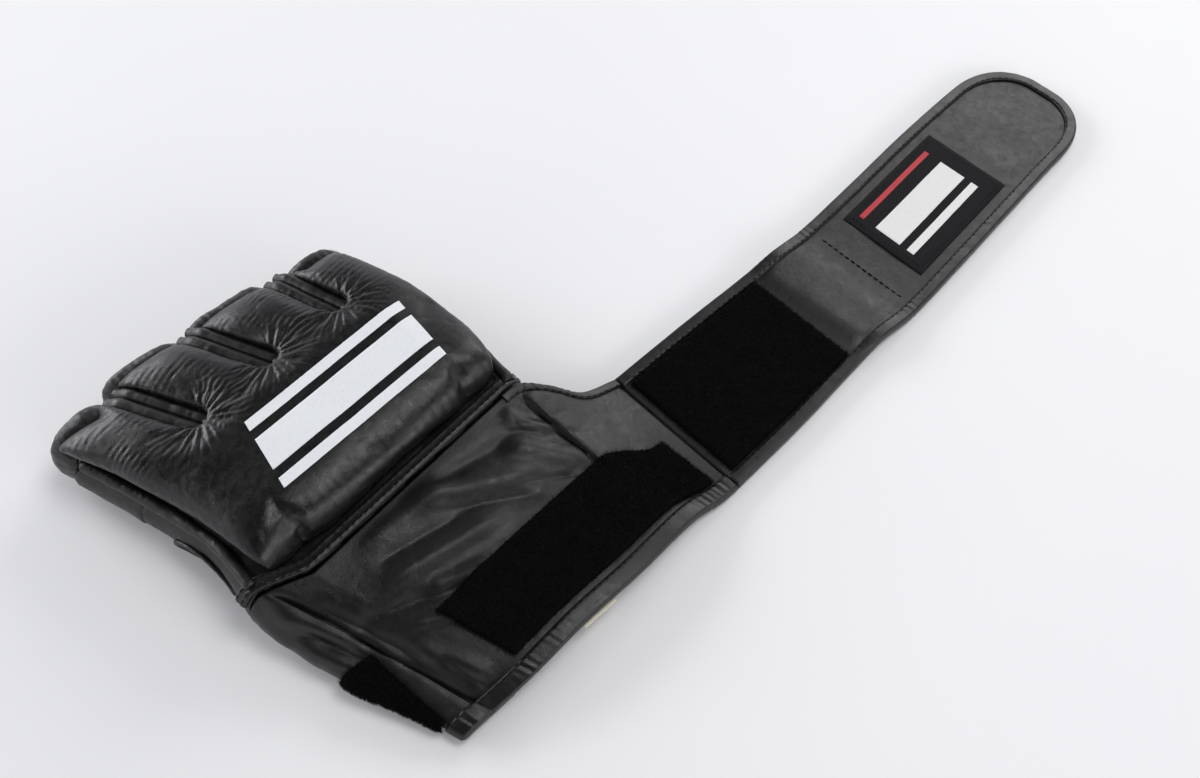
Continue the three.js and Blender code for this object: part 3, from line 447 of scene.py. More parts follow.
def distances(path):
    """Length along a path at each of its points."""
    return np.concatenate([[0], np.cumsum(np.linalg.norm(np.diff(path, axis=0), axis=1))])


def path_frames(path, up):
    """Ways across a path and up from it, at each of its points."""
    ahead = unit(np.gradient(path, axis=0))
    across = unit(np.cross(ahead, up))
    return across, np.cross(across, ahead)


def even_path(path, step):
    """Points of a path at even distances, and the distances."""
    lengths = distances(path)
    count = max(int(lengths[-1] / step), 2)
    at = np.linspace(0, lengths[-1], count + 1)
    return np.stack([np.interp(at, lengths, path[:, i]) for i in range(3)], 1), at


STITCH_RINGS = 6
RING_POINTS = 6


def stitch_row(path, normals, length=2.3, pause=0.8, width=0.42, height=0.3):
    """Points and faces of a row of stitches lying on a surface."""
    lengths = distances(path)
    starts = np.arange(pause, lengths[-1] - length, length + pause)
    points, faces = [], []
    turns = np.linspace(0, 2 * np.pi, RING_POINTS + 1)[:-1]
    bulge = np.sqrt(np.clip(1 - np.linspace(-0.97, 0.97, STITCH_RINGS) ** 2, 0, 1))
    for start in starts:
        at = start + np.linspace(0, 1, STITCH_RINGS) * length
        middle = np.stack([np.interp(at, lengths, path[:, i]) for i in range(3)], 1)
        normal = np.stack([np.interp(at, lengths, normals[:, i]) for i in range(3)], 1)
        across, above = path_frames(middle, normal)
        for k in range(STITCH_RINGS):
            ring = (middle[k] + np.outer(np.cos(turns), across[k]) * width * (0.35 + 0.65 * bulge[k])
                    + np.outer(np.sin(turns) * bulge[k] + 0.2 * bulge[k] - 0.35, above[k]) * height)
            points.append(ring)
        base = (len(points) - STITCH_RINGS) * RING_POINTS
        faces += [tuple(base + i for i in face) for face in tube_faces(STITCH_RINGS, RING_POINTS)]
    return np.concatenate(points), faces


def add_stitches(name, rows, material, slot, **shape):
    """Rows of stitches as one piece. Each row is a path and its normals."""
    points, faces, total = [], [], 0
    for path, normals in rows:
        new_points, new_faces = stitch_row(path, normals, **shape)
        points.append(new_points)
        faces += [tuple(i + total for i in face) for face in new_faces]
        total += len(new_points)
    return add_mesh(name, np.concatenate(points), faces, material)


def rounded_tape(width, thickness, wall, steps=7):
    """Section of a folded tape: x into the sheet from its edge, y along the normal."""
    inner = thickness / 2 + 0.05
    outer = thickness / 2 + GAP + wall
    back = wall + GAP
    turn = np.linspace(0.5 * np.pi, 1.5 * np.pi, steps * 2 + 1)
    belly = 0.25
    top_x = np.linspace(width, 0.2, 8)[1:]
    top = [(x, outer - belly * ((x / width - 0.35) ** 2) * 1.5) for x in top_x]
    arc = [(back * np.cos(t), outer * np.sin(t)) for t in turn[1:-1]]
    low = [(x, -y) for x, y in reversed(top)]
    return np.array([(width, inner), (width, outer - 0.45)] + top + arc + low
                    + [(width, -(outer - 0.45)), (width, -inner), (0, -inner), (0, inner)])


def tape_mesh(name, points, inward, normals, width, thickness, material, replaces,
              gathers=0.12, spots=()):
    """Folded tape along an edge, with small gathers and deeper ones at the given spots."""
    section = rounded_tape(width, thickness, BINDING_WALL)
    lengths = distances(points)
    outside = np.abs(section[:, 1]) > thickness / 2 + 0.1
    ripple = gathers * (noise(stack(lengths, 0, 0), 3.1, 11) + 0.6 * noise(stack(lengths, 5, 0), 1.6, 12))
    for spot, depth in spots:
        ripple = ripple + depth * np.sin(2 * (lengths - spot)) * np.exp(-((lengths - spot) / 4) ** 2)
    rows = []
    for k in range(len(points)):
        lift = np.where(outside, ripple[k], 0)
        y = section[:, 1] + np.sign(section[:, 1]) * lift * (0.4 + 0.6 * np.clip(section[:, 0] / width, 0, 1))
        x = section[:, 0] - np.where(section[:, 0] < 0, 0.3 * ripple[k], 0)
        rows.append(points[k] + np.outer(x, inward[k]) + np.outer(y, normals[k]))
    faces = tube_faces(len(points), len(section))
    return add_mesh(name, np.concatenate(rows), faces, material, replaces)


# Materials
def material_named(name, color, rough, sheen=0.0, specular=0.5):
    material = bpy.data.materials.new(name)
    material.use_nodes = True
    nodes = material.node_tree.nodes
    links = material.node_tree.links
    shader = nodes["Principled BSDF"]
    shader.inputs["Base Color"].default_value = (*color, 1)
    shader.inputs["Roughness"].default_value = rough
    shader.inputs["Specular IOR Level"].default_value = specular
    if sheen:
        shader.inputs["Sheen Weight"].default_value = sheen
        shader.inputs["Sheen Roughness"].default_value = 0.6
    place = nodes.new("ShaderNodeTexCoord")
    return material, nodes, links, shader, place.outputs["Object"]


def ramp(nodes, links, source, stops):
    """Colour between stops of a place and a colour."""
    node = nodes.new("ShaderNodeValToRGB")
    elements = node.color_ramp.elements
    while len(elements) < len(stops):
        elements.new(0.5)
    for element, (at, color) in zip(elements, stops):
        element.position = at
        element.color = (*color, 1) if len(color) == 3 else color
    links.new(source, node.inputs["Fac"])
    return node.outputs["Color"]


def math_node(nodes, links, operation, a, b=None):
    node = nodes.new("ShaderNodeMath")
    node.operation = operation
    for socket, value in zip(node.inputs, (a, b)):
        if value is None:
            continue
        if isinstance(value, (int, float)):
            socket.default_value = value
        else:
            links.new(value, socket)
    return node.outputs[0]


def noise_node(nodes, links, place, scale, detail=3.0, rough=0.55, distortion=0.0):
    node = nodes.new("ShaderNodeTexNoise")
    node.inputs["Scale"].default_value = scale
    node.inputs["Detail"].default_value = detail
    node.inputs["Roughness"].default_value = rough
    node.inputs["Distortion"].default_value = distortion
    links.new(place, node.inputs["Vector"])
    return node.outputs["Fac"]


def bump_chain(nodes, links, shader, layers):
    """Bumps one on another: each layer is a height, a strength and a depth in metres."""
    normal = None
    for height, strength, distance in layers:
        bump = nodes.new("ShaderNodeBump")
        bump.inputs["Strength"].default_value = strength
        bump.inputs["Distance"].default_value = distance
        links.new(height, bump.inputs["Height"])
        if normal is not None:
            links.new(normal, bump.inputs["Normal"])
        normal = bump.outputs["Normal"]
    links.new(normal, shader.inputs["Normal"])


def leather_material(name, color, light, rough, grain, crease):
    """Leather between two tones, with a fine grain, pores and soft creases."""
    material, nodes, links, shader, place = material_named(name, color, rough, specular=0.42)
    cells = nodes.new("ShaderNodeTexVoronoi")
    cells.feature = "DISTANCE_TO_EDGE"
    cells.inputs["Scale"].default_value = 1150 / grain
    warp = nodes.new("ShaderNodeTexNoise")
    warp.inputs["Scale"].default_value = 500
    mix = nodes.new("ShaderNodeVectorMath")
    mix.operation = "MULTIPLY_ADD"
    mix.inputs[1].default_value = (0.0016, 0.0016, 0.0016)
    links.new(place, warp.inputs["Vector"])
    links.new(warp.outputs["Color"], mix.inputs[0])
    links.new(place, mix.inputs[2])
    links.new(mix.outputs[0], cells.inputs["Vector"])
    grain_height = ramp(nodes, links, cells.outputs["Distance"], [(0.0, (0, 0, 0)), (0.16, (1, 1, 1))])
    broad = noise_node(nodes, links, place, 26, 4.0, 0.6)
    fine = noise_node(nodes, links, place, 260, 4.0, 0.6, 0.6)
    pores = noise_node(nodes, links, place, 1800, 2.0, 0.5)
    tone = ramp(nodes, links, broad, [(0.3, color), (0.7, light)])
    links.new(tone, shader.inputs["Base Color"])
    gloss = ramp(nodes, links, fine, [(0.25, (rough - 0.08,) * 3), (0.75, (rough + 0.12,) * 3)])
    links.new(gloss, shader.inputs["Roughness"])
    bump_chain(nodes, links, shader, [
        (broad, 0.35 * crease, 0.0012),
        (fine, 0.45 * crease, 0.00022),
        (grain_height, 0.5, 0.00004 * grain),
        (pores, 0.35, 0.00002),
    ])
    return material


def pile_material(name, color, light):
    """Loop pile with tufts, clumps and light specks."""
    material, nodes, links, shader, place = material_named(name, color, 1.0, specular=0.05)
    tufts = nodes.new("ShaderNodeTexVoronoi")
    tufts.inputs["Scale"].default_value = 1050
    links.new(place, tufts.inputs["Vector"])
    clumps = noise_node(nodes, links, place, 190, 4.0, 0.7, 1.2)
    speckle = noise_node(nodes, links, place, 1500, 3.0, 0.7)
    tone = ramp(nodes, links, speckle, [(0.42, color), (0.62, color), (0.78, light)])
    links.new(tone, shader.inputs["Base Color"])
    bump_chain(nodes, links, shader, [
        (clumps, 0.9, 0.0012),
        (tufts.outputs["Distance"], 0.8, 0.0006),
    ])
    return material


def woven_material(name, color, light, pitch=0.00055):
    material, nodes, links, shader, place = material_named(name, color, 0.8, specular=0.15)
    waves = []
    for direction in ("X", "Y"):
        wave = nodes.new("ShaderNodeTexWave")
        wave.bands_direction = direction
        wave.inputs["Scale"].default_value = 0.314 / pitch / 2
        wave.inputs["Distortion"].default_value = 0.6
        wave.inputs["Detail Scale"].default_value = 40
        links.new(place, wave.inputs["Vector"])
        waves.append(wave.outputs["Fac"])
    weave = math_node(nodes, links, "MULTIPLY", waves[0], waves[1])
    tone = ramp(nodes, links, weave, [(0.1, color), (0.9, light)])
    links.new(tone, shader.inputs["Base Color"])
    soft = noise_node(nodes, links, place, 90, 3.0)
    bump_chain(nodes, links, shader, [(soft, 0.3, 0.0006), (weave, 0.6, 0.00018)])
    return material


def print_material(name, color, rough):
    """Thick print, slightly speckled."""
    material, nodes, links, shader, place = material_named(name, color, rough)
    speckle = noise_node(nodes, links, place, 900, 5.0, 0.8)
    darker = tuple(0.93 * channel for channel in color)
    tone = ramp(nodes, links, speckle, [(0.36, darker), (0.5, color)])
    links.new(tone, shader.inputs["Base Color"])
    fine = noise_node(nodes, links, place, 900, 4.0, 0.6)
    bump_chain(nodes, links, shader, [(speckle, 0.3, 0.0002), (fine, 0.4, 0.00008)])
    return material


pad_leather = leather_material(
    "pad_leather_look", (0.0025, 0.0027, 0.0029), (0.0042, 0.0045, 0.0047), 0.31, 1.0, 0.8)
soft_leather = leather_material(
    "soft_leather_look", (0.003, 0.0032, 0.0031), (0.0055, 0.0058, 0.0055), 0.40, 1.0, 1.3)
binding_leather = leather_material(
    "binding_look", (0.003, 0.0032, 0.0033), (0.006, 0.0063, 0.0063), 0.33, 0.8, 1.2)
pile = pile_material("pile_look", (0.003, 0.003, 0.0032), (0.03, 0.03, 0.031))
loops = pile_material("pile_loops_look", (0.006, 0.006, 0.0064), (0.06, 0.06, 0.062))
hook = pile_material("hook_look", (0.006, 0.006, 0.007), (0.04, 0.04, 0.044))
woven = woven_material("woven_look", (0.006, 0.006, 0.007), (0.022, 0.022, 0.024))
thread = woven_material("thread_look", (0.003, 0.003, 0.0034), (0.009, 0.009, 0.010), 0.0003)
tag_cloth = woven_material("tag_look", (0.62, 0.58, 0.46), (0.82, 0.79, 0.66), 0.0004)
white_print = print_material("white_print_look", (0.78, 0.80, 0.82), 0.42)
red_print = print_material("red_print_look", (0.42, 0.02, 0.03), 0.6)
label_print = print_material("label_print_look", (0.74, 0.74, 0.73), 0.7)


# Pieces grown from the solids
def solid_points(obj):
    count = len(obj.data.vertices)
    flat = np.empty(count * 3)
    obj.data.vertices.foreach_get("co", flat)
    return flat.reshape(-1, 3) * 1000 - np.array([0, GROUND_Y, 0])


def set_points(obj, points):
    obj.data.vertices.foreach_set("co", to_part(points).ravel())
    obj.data.update()


def mesh_normals(obj):
    flat = np.empty(len(obj.data.vertices) * 3)
    obj.data.vertices.foreach_get("normal", flat)
    return flat.reshape(-1, 3)


def neighbours(obj):
    edges = np.empty(len(obj.data.edges) * 2, np.int64)
    obj.data.edges.foreach_get("vertices", edges)
    return edges.reshape(-1, 2)


def relax(points, edges, rounds, keep=None, strength=0.5):
    """Moves each point towards the middle of its neighbours, less where keep is near 1."""
    count = np.bincount(edges.ravel(), minlength=len(points))[:, None]
    hold = 0 if keep is None else keep[:, None]
    for _ in range(rounds):
        total = np.zeros_like(points)
        np.add.at(total, edges[:, 0], points[edges[:, 1]])
        np.add.at(total, edges[:, 1], points[edges[:, 0]])
        points = points + (total / count - points) * strength * (1 - hold)
    return points


def even_out(points, edges, rounds):
    """Smooths facets away and keeps the volume."""
    for _ in range(rounds):
        points = relax(points, edges, 1, strength=0.6)
        points = relax(points, edges, 1, strength=-0.62)
    return points


def grown(name, node, voxel, material, replaces=None):
    """A finely meshed copy of a solid, as a piece of its own."""
    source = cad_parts[node]
    obj = source.copy()
    obj.data = source.data.copy()
    obj.name = name
    obj.parent = None
    obj.matrix_world = Matrix.Identity(4)
    for collection in list(obj.users_collection):
        collection.objects.unlink(obj)
    bpy.context.collection.objects.link(obj)
    remesh = obj.modifiers.new("remesh", "REMESH")
    remesh.mode = "VOXEL"
    remesh.voxel_size = voxel / 1000
    bpy.context.view_layer.objects.active = obj
    for other in bpy.context.selected_objects:
        other.select_set(False)
    obj.select_set(True)
    bpy.ops.object.modifier_apply(modifier="remesh")
    return finish_piece(obj, material, replaces or (node,))


def slot_ends():
    ends = []
    for line, start in SLOTS:
        inner = finger_point(line, start)
        outer = finger_point(line, 1.0)
        ahead = (outer - inner) / np.linalg.norm(outer - inner)
        ends.append((inner, ahead))
    return ends


def pad_detail(points, normals):
    """Fans of wrinkles at the slots' ends, cross wrinkles on the lobes and gathers at the ends."""
    x, y, z = points[:, 0], points[:, 1], points[:, 2]
    up = smooth(normals[:, 2], 0.0, 0.6)
    out = 0.25 * noise(points, 16, 21) + 0.05 * noise(points, 6, 22) - 0.10 * creases(points, 7, 0.12, 23)
    for number, (inner, ahead) in enumerate(slot_ends()):
        side = np.array([ahead[1], -ahead[0]])
        flat = points[:, :2] - (inner + 2.0 * ahead)
        forward, across = flat @ ahead, flat @ side
        radius = np.hypot(forward, across)
        angle = np.arctan2(across, -forward)
        rays = np.sin(17 * angle + 2.2 * noise(stack(angle * 3, number, radius / 12), 1.0, 31))
        rays = np.sign(rays) * np.abs(rays) ** 0.8
        fan = np.exp(-((radius - 8.0) / 5.0) ** 2) * (np.abs(angle) < 2.4)
        out = out + 0.30 * rays * fan * up
        fine = np.sin(41 * angle + 3 * noise(stack(angle * 4, number, radius / 7), 1.0, 32))
        out = out + 0.16 * fine * np.exp(-((radius - 11) / 7.5) ** 2) * (np.abs(angle) < 2.3) * up
    lobes = smooth(y, 48, 66) * (1 - smooth(y, 104, 112))
    along_lobe = y - 0.25 * x
    cross = np.sin(along_lobe * 1.15 + 2.4 * noise(stack(x / 9, y / 26, z / 9), 1.0, 41))
    out = out - 0.30 * lobes * (1 - np.abs(cross)) ** 3 * smooth(noise(points, 9, 42), -0.4, 0.3) * up
    gathers = np.exp(-((y - seam_y(x) - 9) / 6) ** 2)
    out = out + 0.09 * gathers * np.sin(x * 1.5 + 2.5 * noise(stack(x / 9, y / 9, 0 * x), 1.0, 43))
    return out


# How far the lobes' leather runs on towards the lips, at both sides of each finger, in mm
LOBE_REACH = ((7.5, 6.5), (8.5, 4.6), (4.6, 4.6), (2.4, 6.0))
# Where the pad's corner at the wrist is drawn to, from the solid's: place, way and reach in mm
PAD_CORNER = (np.array([-68, 8]), np.array([-3.0, -5.5]), 17)
SIDE_SWELL = 3.2


def lobe_line(index, y):
    """x of a line between two fingers at each y, how far along it that is, and its way."""
    start, end = finger_point(index, 0.0), finger_point(index, 1.0)
    share = (y - start[1]) / (end[1] - start[1])
    return start[0] + (end[0] - start[0]) * share, share, (end - start) / np.linalg.norm(end - start)


def pad_shape(points):
    """Draws the lobes' ends out to the rolled lips, and the thumb side down to the wrist seam."""
    x, y = points[:, 0], points[:, 1]
    out = points.copy()
    lines = [lobe_line(index, y) for index in range(5)]
    lobe_of = sum((x > lines[index][0]).astype(int) for index in (1, 2, 3))
    for lobe, (left_reach, right_reach) in enumerate(LOBE_REACH):
        (left_x, left_share, left_way), (right_x, right_share, right_way) = lines[lobe], lines[lobe + 1]
        across = np.clip((x - left_x) / (right_x - left_x), 0, 1)
        share = lerp(left_share, right_share, across)
        reach = lerp(left_reach, right_reach, across) * smooth(share, 0.4, 0.95)
        way = left_way + (right_way - left_way) * across[:, None]
        out[:, :2] += np.where(lobe_of == lobe, reach, 0)[:, None] * way
    out[:, 0] -= SIDE_SWELL * smooth(lines[0][1], 0.2, 1.0) * (1 - smooth(x - lines[0][0], 0, 16))
    place, way, reach = PAD_CORNER
    pull = np.exp(-np.sum((points[:, :2] - place) ** 2, axis=1) / (2 * reach ** 2))
    out[:, :2] += pull[:, None] * way
    return out


# The pad's cloth simulation: frames, pressure, most that a point may move and height of the held base
CLOTH_FRAMES = 20
CLOTH_PRESSURE = 4.0
CLOTH_CAP = 1.5
HELD_HEIGHT = 1.6


def cloth_swell(obj, cap, pressure):
    """Swells a padded piece by a short cloth simulation and caps how far a point may move."""
    before = solid_points(obj)
    cloth = obj.modifiers.new("cloth", "CLOTH")
    settings = cloth.settings
    settings.quality = 5
    settings.mass = 0.3
    settings.tension_stiffness = 20
    settings.compression_stiffness = 20
    settings.bending_stiffness = 0.6
    settings.use_pressure = True
    settings.uniform_pressure_force = pressure
    settings.effector_weights.gravity = 0
    cloth.collision_settings.use_collision = False
    held = before[:, 2] < before[:, 2].min() + HELD_HEIGHT
    group = obj.vertex_groups.new(name="held")
    for index in np.nonzero(held)[0]:
        group.add([int(index)], 1.0, "REPLACE")
    settings.vertex_group_mass = "held"
    for step in range(1, CLOTH_FRAMES + 1):
        bpy.context.scene.frame_set(step)
    bpy.context.view_layer.objects.active = obj
    bpy.ops.object.modifier_apply(modifier="cloth")
    bpy.context.scene.frame_set(1)
    after = solid_points(obj)
    moved = after - before
    length = np.linalg.norm(moved, axis=1, keepdims=True)
    moved = moved * np.minimum(1, cap / np.maximum(length, 1e-6))
    moved[held] = 0
    set_points(obj, before + moved)
    obj.vertex_groups.clear()


def refine(obj):
    """Splits each face once and rounds the form."""
    modifier = obj.modifiers.new("subdivide", "SUBSURF")
    modifier.levels = 1
    modifier.render_levels = 1
    bpy.context.view_layer.objects.active = obj
    bpy.ops.object.modifier_apply(modifier="subdivide")


def build_pad():
    """The pad's leather: the solid made fine, swollen, drawn out to the lips and wrinkled."""
    pad = grown("pad_cover", "knuckle_pad", 1.45, pad_leather)
    edges = neighbours(pad)
    points = solid_points(pad)
    low = points[:, 2] < points[:, 2].min() + 1.2
    set_points(pad, relax(even_out(points, edges, 12), edges, 1, low.astype(float)))
    cloth_swell(pad, CLOTH_CAP, CLOTH_PRESSURE)
    refine(pad)
    points = solid_points(pad)
    edges = neighbours(pad)
    points = pad_shape(relax(points, edges, 2))
    set_points(pad, points)
    normals = mesh_normals(pad)
    points = points + normals * pad_detail(points, normals)[:, None]
    set_points(pad, points)
    pad.data.polygons.foreach_set("use_smooth", [True] * len(pad.data.polygons))
    return pad


def build_grown(name, node, voxel, rounds, material, wrinkle, size, seed, shape=None):
    """A piece grown from a solid: meshed at the voxel size, smoothed, shaped and wrinkled."""
    obj = grown(name, node, voxel, material)
    edges = neighbours(obj)
    points = even_out(solid_points(obj), edges, rounds)
    if shape is not None:
        points = shape(points)
    set_points(obj, points)
    normals = mesh_normals(obj)
    out = wrinkle * noise(points, size, seed) + 0.4 * wrinkle * noise(points, size / 2.6, seed + 1)
    floor = smooth(points[:, 2], 0.3, 3.0)
    set_points(obj, points + normals * (out * floor)[:, None])
    return obj


# Cuff
def cuff_grid(u_count, v_count, u_low=0.0, u_high=1.0, v_low=0.0, v_high=1 - CUFF_INSET):
    u = np.linspace(u_low, u_high, u_count)[:, None]
    v = np.linspace(v_low, v_high, v_count)[None, :]
    grid = cuff_surface(u, v)
    normals = upward(grid_normals(grid))
    return grid, normals


def build_cuff():
    """The cuff's leather: the back and the side in one sheet, rounded over where they meet."""
    v = np.linspace(0, 1 - CUFF_INSET, 106)[None, :]
    side_u = np.linspace(1, 0.0, 120)[:, None]
    back_u = np.linspace(0, 1, 212)[:, None]
    grid = np.concatenate([side_surface(side_u, v), cuff_surface(back_u, v)])
    meet = len(side_u)
    for _ in range(7):
        low, high = meet - 8, meet + 7
        grid[low:high] += 0.5 * ((grid[low - 1:high - 1] + grid[low + 1:high + 1]) / 2 - grid[low:high])
    normals = outward_normals(grid, -40, 60)
    fade = smooth(v, 0.0, 0.07) * (1 - smooth(v, 0.90, 0.985))
    drape = cuff_drape(grid) * fade
    index = np.arange(len(grid))[:, None]
    back = smooth(index, meet - 4, meet + 7)
    side_out = sum(ridge(grid, *fold) for fold in SIDE_FOLDS)
    side_out = side_out + 0.5 * noise(grid, 13, 51) + 0.25 * noise(grid, 5, 52)
    lifted = smooth(grid[..., 2], 1.6, 7.0)
    out = drape * back + side_out * (1 - back) * lifted * fade
    crease = -1.7 * np.exp(-((index - meet + 1.5) / 3.6) ** 2) * fade
    out = out + crease
    grid = grid + normals * out[..., None]
    grid[..., 2] = np.maximum(grid[..., 2], LEATHER / 2)
    normals = outward_normals(grid, -40, 60)
    half = np.full(grid.shape[:2], LEATHER / 2)
    obj = sheet_mesh("cuff_leather", grid, normals, -half, half, soft_leather,
                     ("cuff_back_panel", "cuff_side_panel"))
    return BVHTree.FromPolygons(
        [Vector(p) for p in (grid + normals * half[..., None]).reshape(-1, 3)],
        [tuple(int(i) for i in face) for face in
         sheet_faces(*grid.shape[:2], 0)[:(grid.shape[0] - 1) * (grid.shape[1] - 1)]])


def drop_on(tree, points, above=12.0):
    """Height of a surface straight below each point, or the point's own where there is none."""
    flat = points.reshape(-1, 3).copy()
    for k, point in enumerate(flat):
        hit, _, _, _ = tree.ray_cast(Vector(point) + Vector((0, 0, above)), Vector((0, 0, -1)))
        if hit is not None:
            flat[k, 2] = hit.z
    return flat.reshape(points.shape)


LOOP_LENGTH = 0.75
LOOP_HALF_WIDTH = 0.05


def fuzz(name, grid, normals, count, length, material, seed):
    """Short loops of pile standing on a surface, as thin bent strips."""
    rng = np.random.default_rng(seed)
    rows, columns = grid.shape[:2]
    i = rng.random(count) * (rows - 1.001)
    j = rng.random(count) * (columns - 1.001)
    border = rng.random(count) < 0.25
    edge = rng.integers(0, 4, count)
    i = np.where(border & (edge == 0), 0.02, np.where(border & (edge == 1), rows - 1.02, i))
    j = np.where(border & (edge == 2), 0.02, np.where(border & (edge == 3), columns - 1.02, j))
    ii, jj = i.astype(int), j.astype(int)
    fi, fj = (i - ii)[:, None], (j - jj)[:, None]
    base = (grid[ii, jj] * (1 - fi) * (1 - fj) + grid[ii + 1, jj] * fi * (1 - fj)
            + grid[ii, jj + 1] * (1 - fi) * fj + grid[ii + 1, jj + 1] * fi * fj)
    normal = normals[ii, jj]
    lean = rng.normal(0, 0.75, (count, 3))
    lean -= normal * np.sum(lean * normal, 1, keepdims=True)
    size = length * (0.5 + rng.random((count, 1)))
    tip = base + normal * size * 0.9 + lean * size * 0.7
    end = base + lean * size * 1.3 + normal * size * 0.15
    wide = np.cross(normal, lean)
    wide = wide / np.maximum(np.linalg.norm(wide, axis=1, keepdims=True), 1e-6) * LOOP_HALF_WIDTH
    root = base - normal * 0.2
    points = np.stack([root - wide, root + wide, tip - wide, tip + wide, end - wide, end + wide], 1)
    start = np.arange(count)[:, None] * 6
    faces = np.concatenate([start + np.array([0, 1, 3, 2]), start + np.array([2, 3, 5, 4])])
    return add_mesh(name, points.reshape(-1, 3), faces, material, flat=True)


def patch_outline(grid, fade=1.2):
    """How near each point of a grid is to its edge, from 0 at the edge to 1 inside."""
    rows, columns = grid.shape[:2]
    du = np.linalg.norm(grid[-1, columns // 2] - grid[0, columns // 2]) / (rows - 1)
    dv = np.linalg.norm(grid[rows // 2, -1] - grid[rows // 2, 0]) / (columns - 1)
    i = np.minimum(np.arange(rows), np.arange(rows)[::-1])[:, None] * du
    j = np.minimum(np.arange(columns), np.arange(columns)[::-1])[None, :] * dv
    return smooth(np.minimum(i, j), 0, fade)


def pile_patch(name, node, grid, normals, thickness, count, seed):
    """A loop patch on a surface: rough, thinner towards its edge, with loose loops on it."""
    inner = patch_outline(grid)
    rough = (0.30 * noise(grid, 5, seed) + 0.22 * noise(grid, 1.7, seed + 1)
             + 0.14 * noise(grid, 0.9, seed + 2))
    top = GAP + thickness * (0.45 + 0.55 * inner) + rough * (0.4 + 0.6 * inner)
    sheet_mesh(name, grid, normals, np.full(grid.shape[:2], 0.02), top, pile, (node,))
    surface = grid + normals * (top - 0.1)[..., None]
    fuzz(name + "_loops", surface, normals, count, LOOP_LENGTH, loops, seed)


# Assembly of the pieces
pad = build_pad()
cuff_tree = build_cuff()

build_grown("hand_cover", "hand_shell", 1.5, 4, soft_leather, 0.35, 12, 61)


def lip_shape(finger):
    """Draws the near side of a finger's lip back over the end of its lobe, and gathers it."""
    left, right = finger_point(finger - 1, 1.0), finger_point(finger, 1.0)
    ahead = (left + right) / 2 - (finger_point(finger - 1, 0.0) + finger_point(finger, 0.0)) / 2
    ahead /= np.linalg.norm(ahead)

    def shape(points):
        share = np.clip((points[:, 0] - left[0]) / (right[0] - left[0]), 0, 1)
        line = lerp(left[1], right[1], share)
        past = points[:, 1] - line
        moved = points.copy()
        high = smooth(points[:, 2], 12, 22)
        near = 1 - smooth(past, 0.0, 7.0)
        pull = lerp(-1.2, -3.4, high)
        moved[:, :2] += (near * pull)[:, None] * ahead
        gather = np.sin(points[:, 0] * 1.9 + points[:, 2] * 1.1) * 0.18 * (0.4 + near)
        moved[:, 2] += gather * high
        return moved

    return shape


def sleeve_shape(points):
    """Tucks the start of a finger's tube under the hand's leather."""
    moved = points.copy()
    moved[:, 1] -= 1.6 * (1 - smooth(points[:, 1], ROOT_Y + 0.5, ROOT_Y + 4))
    return moved


def build_slot_roll(number, line, start):
    """A rolled gusset in a slot: two rolls side by side that meet round the slot's inner end."""
    inner = finger_point(line, start, ROLL_REACH)
    outer = finger_point(line, 1.0, 4.0)
    ahead = (outer - inner) / np.linalg.norm(outer - inner)
    side = np.array([ahead[1], -ahead[0]])
    run = np.linalg.norm(outer - inner)
    down = np.linspace(run, 0, 70)[:, None]
    bend = np.linspace(0, np.pi, 26)[1:-1, None]
    flat = np.concatenate([
        inner + down * ahead - ROLL_HALF * side,
        inner - ROLL_HALF * (np.sin(bend) * ahead + np.cos(bend) * side),
        inner + down[::-1] * ahead + ROLL_HALF * side,
    ])
    share = np.clip((flat - inner) @ ahead / run, 0, 1)
    height = lerp(ROLL_HEIGHTS[0], ROLL_HEIGHTS[1], share) - 3.0 * smooth(share, 0.8, 1.0)
    path = np.column_stack([flat, height])
    thumb_side = smooth(np.linspace(1, -1, len(path)), -0.15, 0.15)
    radius = lerp(ROLL_RADII[1], ROLL_RADII[0], thumb_side) * (1 - 0.2 * smooth(share, 0.8, 1.0))
    radius = radius * (1 + 0.05 * noise(path, 4.5, 90 + number) + 0.03 * noise(path, 1.9, 93 + number))
    across, up_way = path_frames(path, np.tile(UP, (len(path), 1)))
    turns = np.linspace(0, 2 * np.pi, 28, endpoint=False)
    ring = radius[:, None, None] * (np.cos(turns)[None, :, None] * across[:, None, :]
                                    + np.sin(turns)[None, :, None] * up_way[:, None, :])
    points = (path[:, None, :] + ring).reshape(-1, 3)
    add_mesh(f"slot_roll_{number}", points, tube_faces(len(path), 28), binding_leather,
             (f"finger_roll_{number}",))


def side_shape(points):
    """Runs the side's rolled edge on into the wrist seam."""
    moved = points.copy()
    start = points[:, 1].min()
    moved[:, 1] -= 5.5 * (1 - smooth(points[:, 1], start, start + 12))
    return moved


for finger in range(1, 5):
    build_grown(f"finger_cover_{finger}", f"finger_sleeve_{finger}", 1.3, 3, soft_leather,
                0.25, 9, 70 + finger, sleeve_shape)
    build_grown(f"finger_lip_{finger}", f"finger_rim_{finger}", 0.9, 12, binding_leather,
                0.22, 4.5, 80 + finger, lip_shape(finger))
for number, (line, start) in enumerate(SLOTS, 1):
    build_slot_roll(number, line, start)
for side_name, seed in (("thumb", 95), ("pinky", 97)):
    build_grown(f"side_edge_{side_name}", f"side_roll_{side_name}", 0.8, 8, soft_leather,
                0.3, 7, seed, side_shape)
build_grown("thumb_edge", "thumb_binding", 0.45, 6, binding_leather, 0.1, 3, 99,
            lambda points: points + np.array([1.6, 0, 0]))


# Length of a pucker of the wrist seam, and its two rows of stitches across it, in mm
SEAM_PITCH = 3.1
SEAM_ROWS = (-1.55, 1.25)


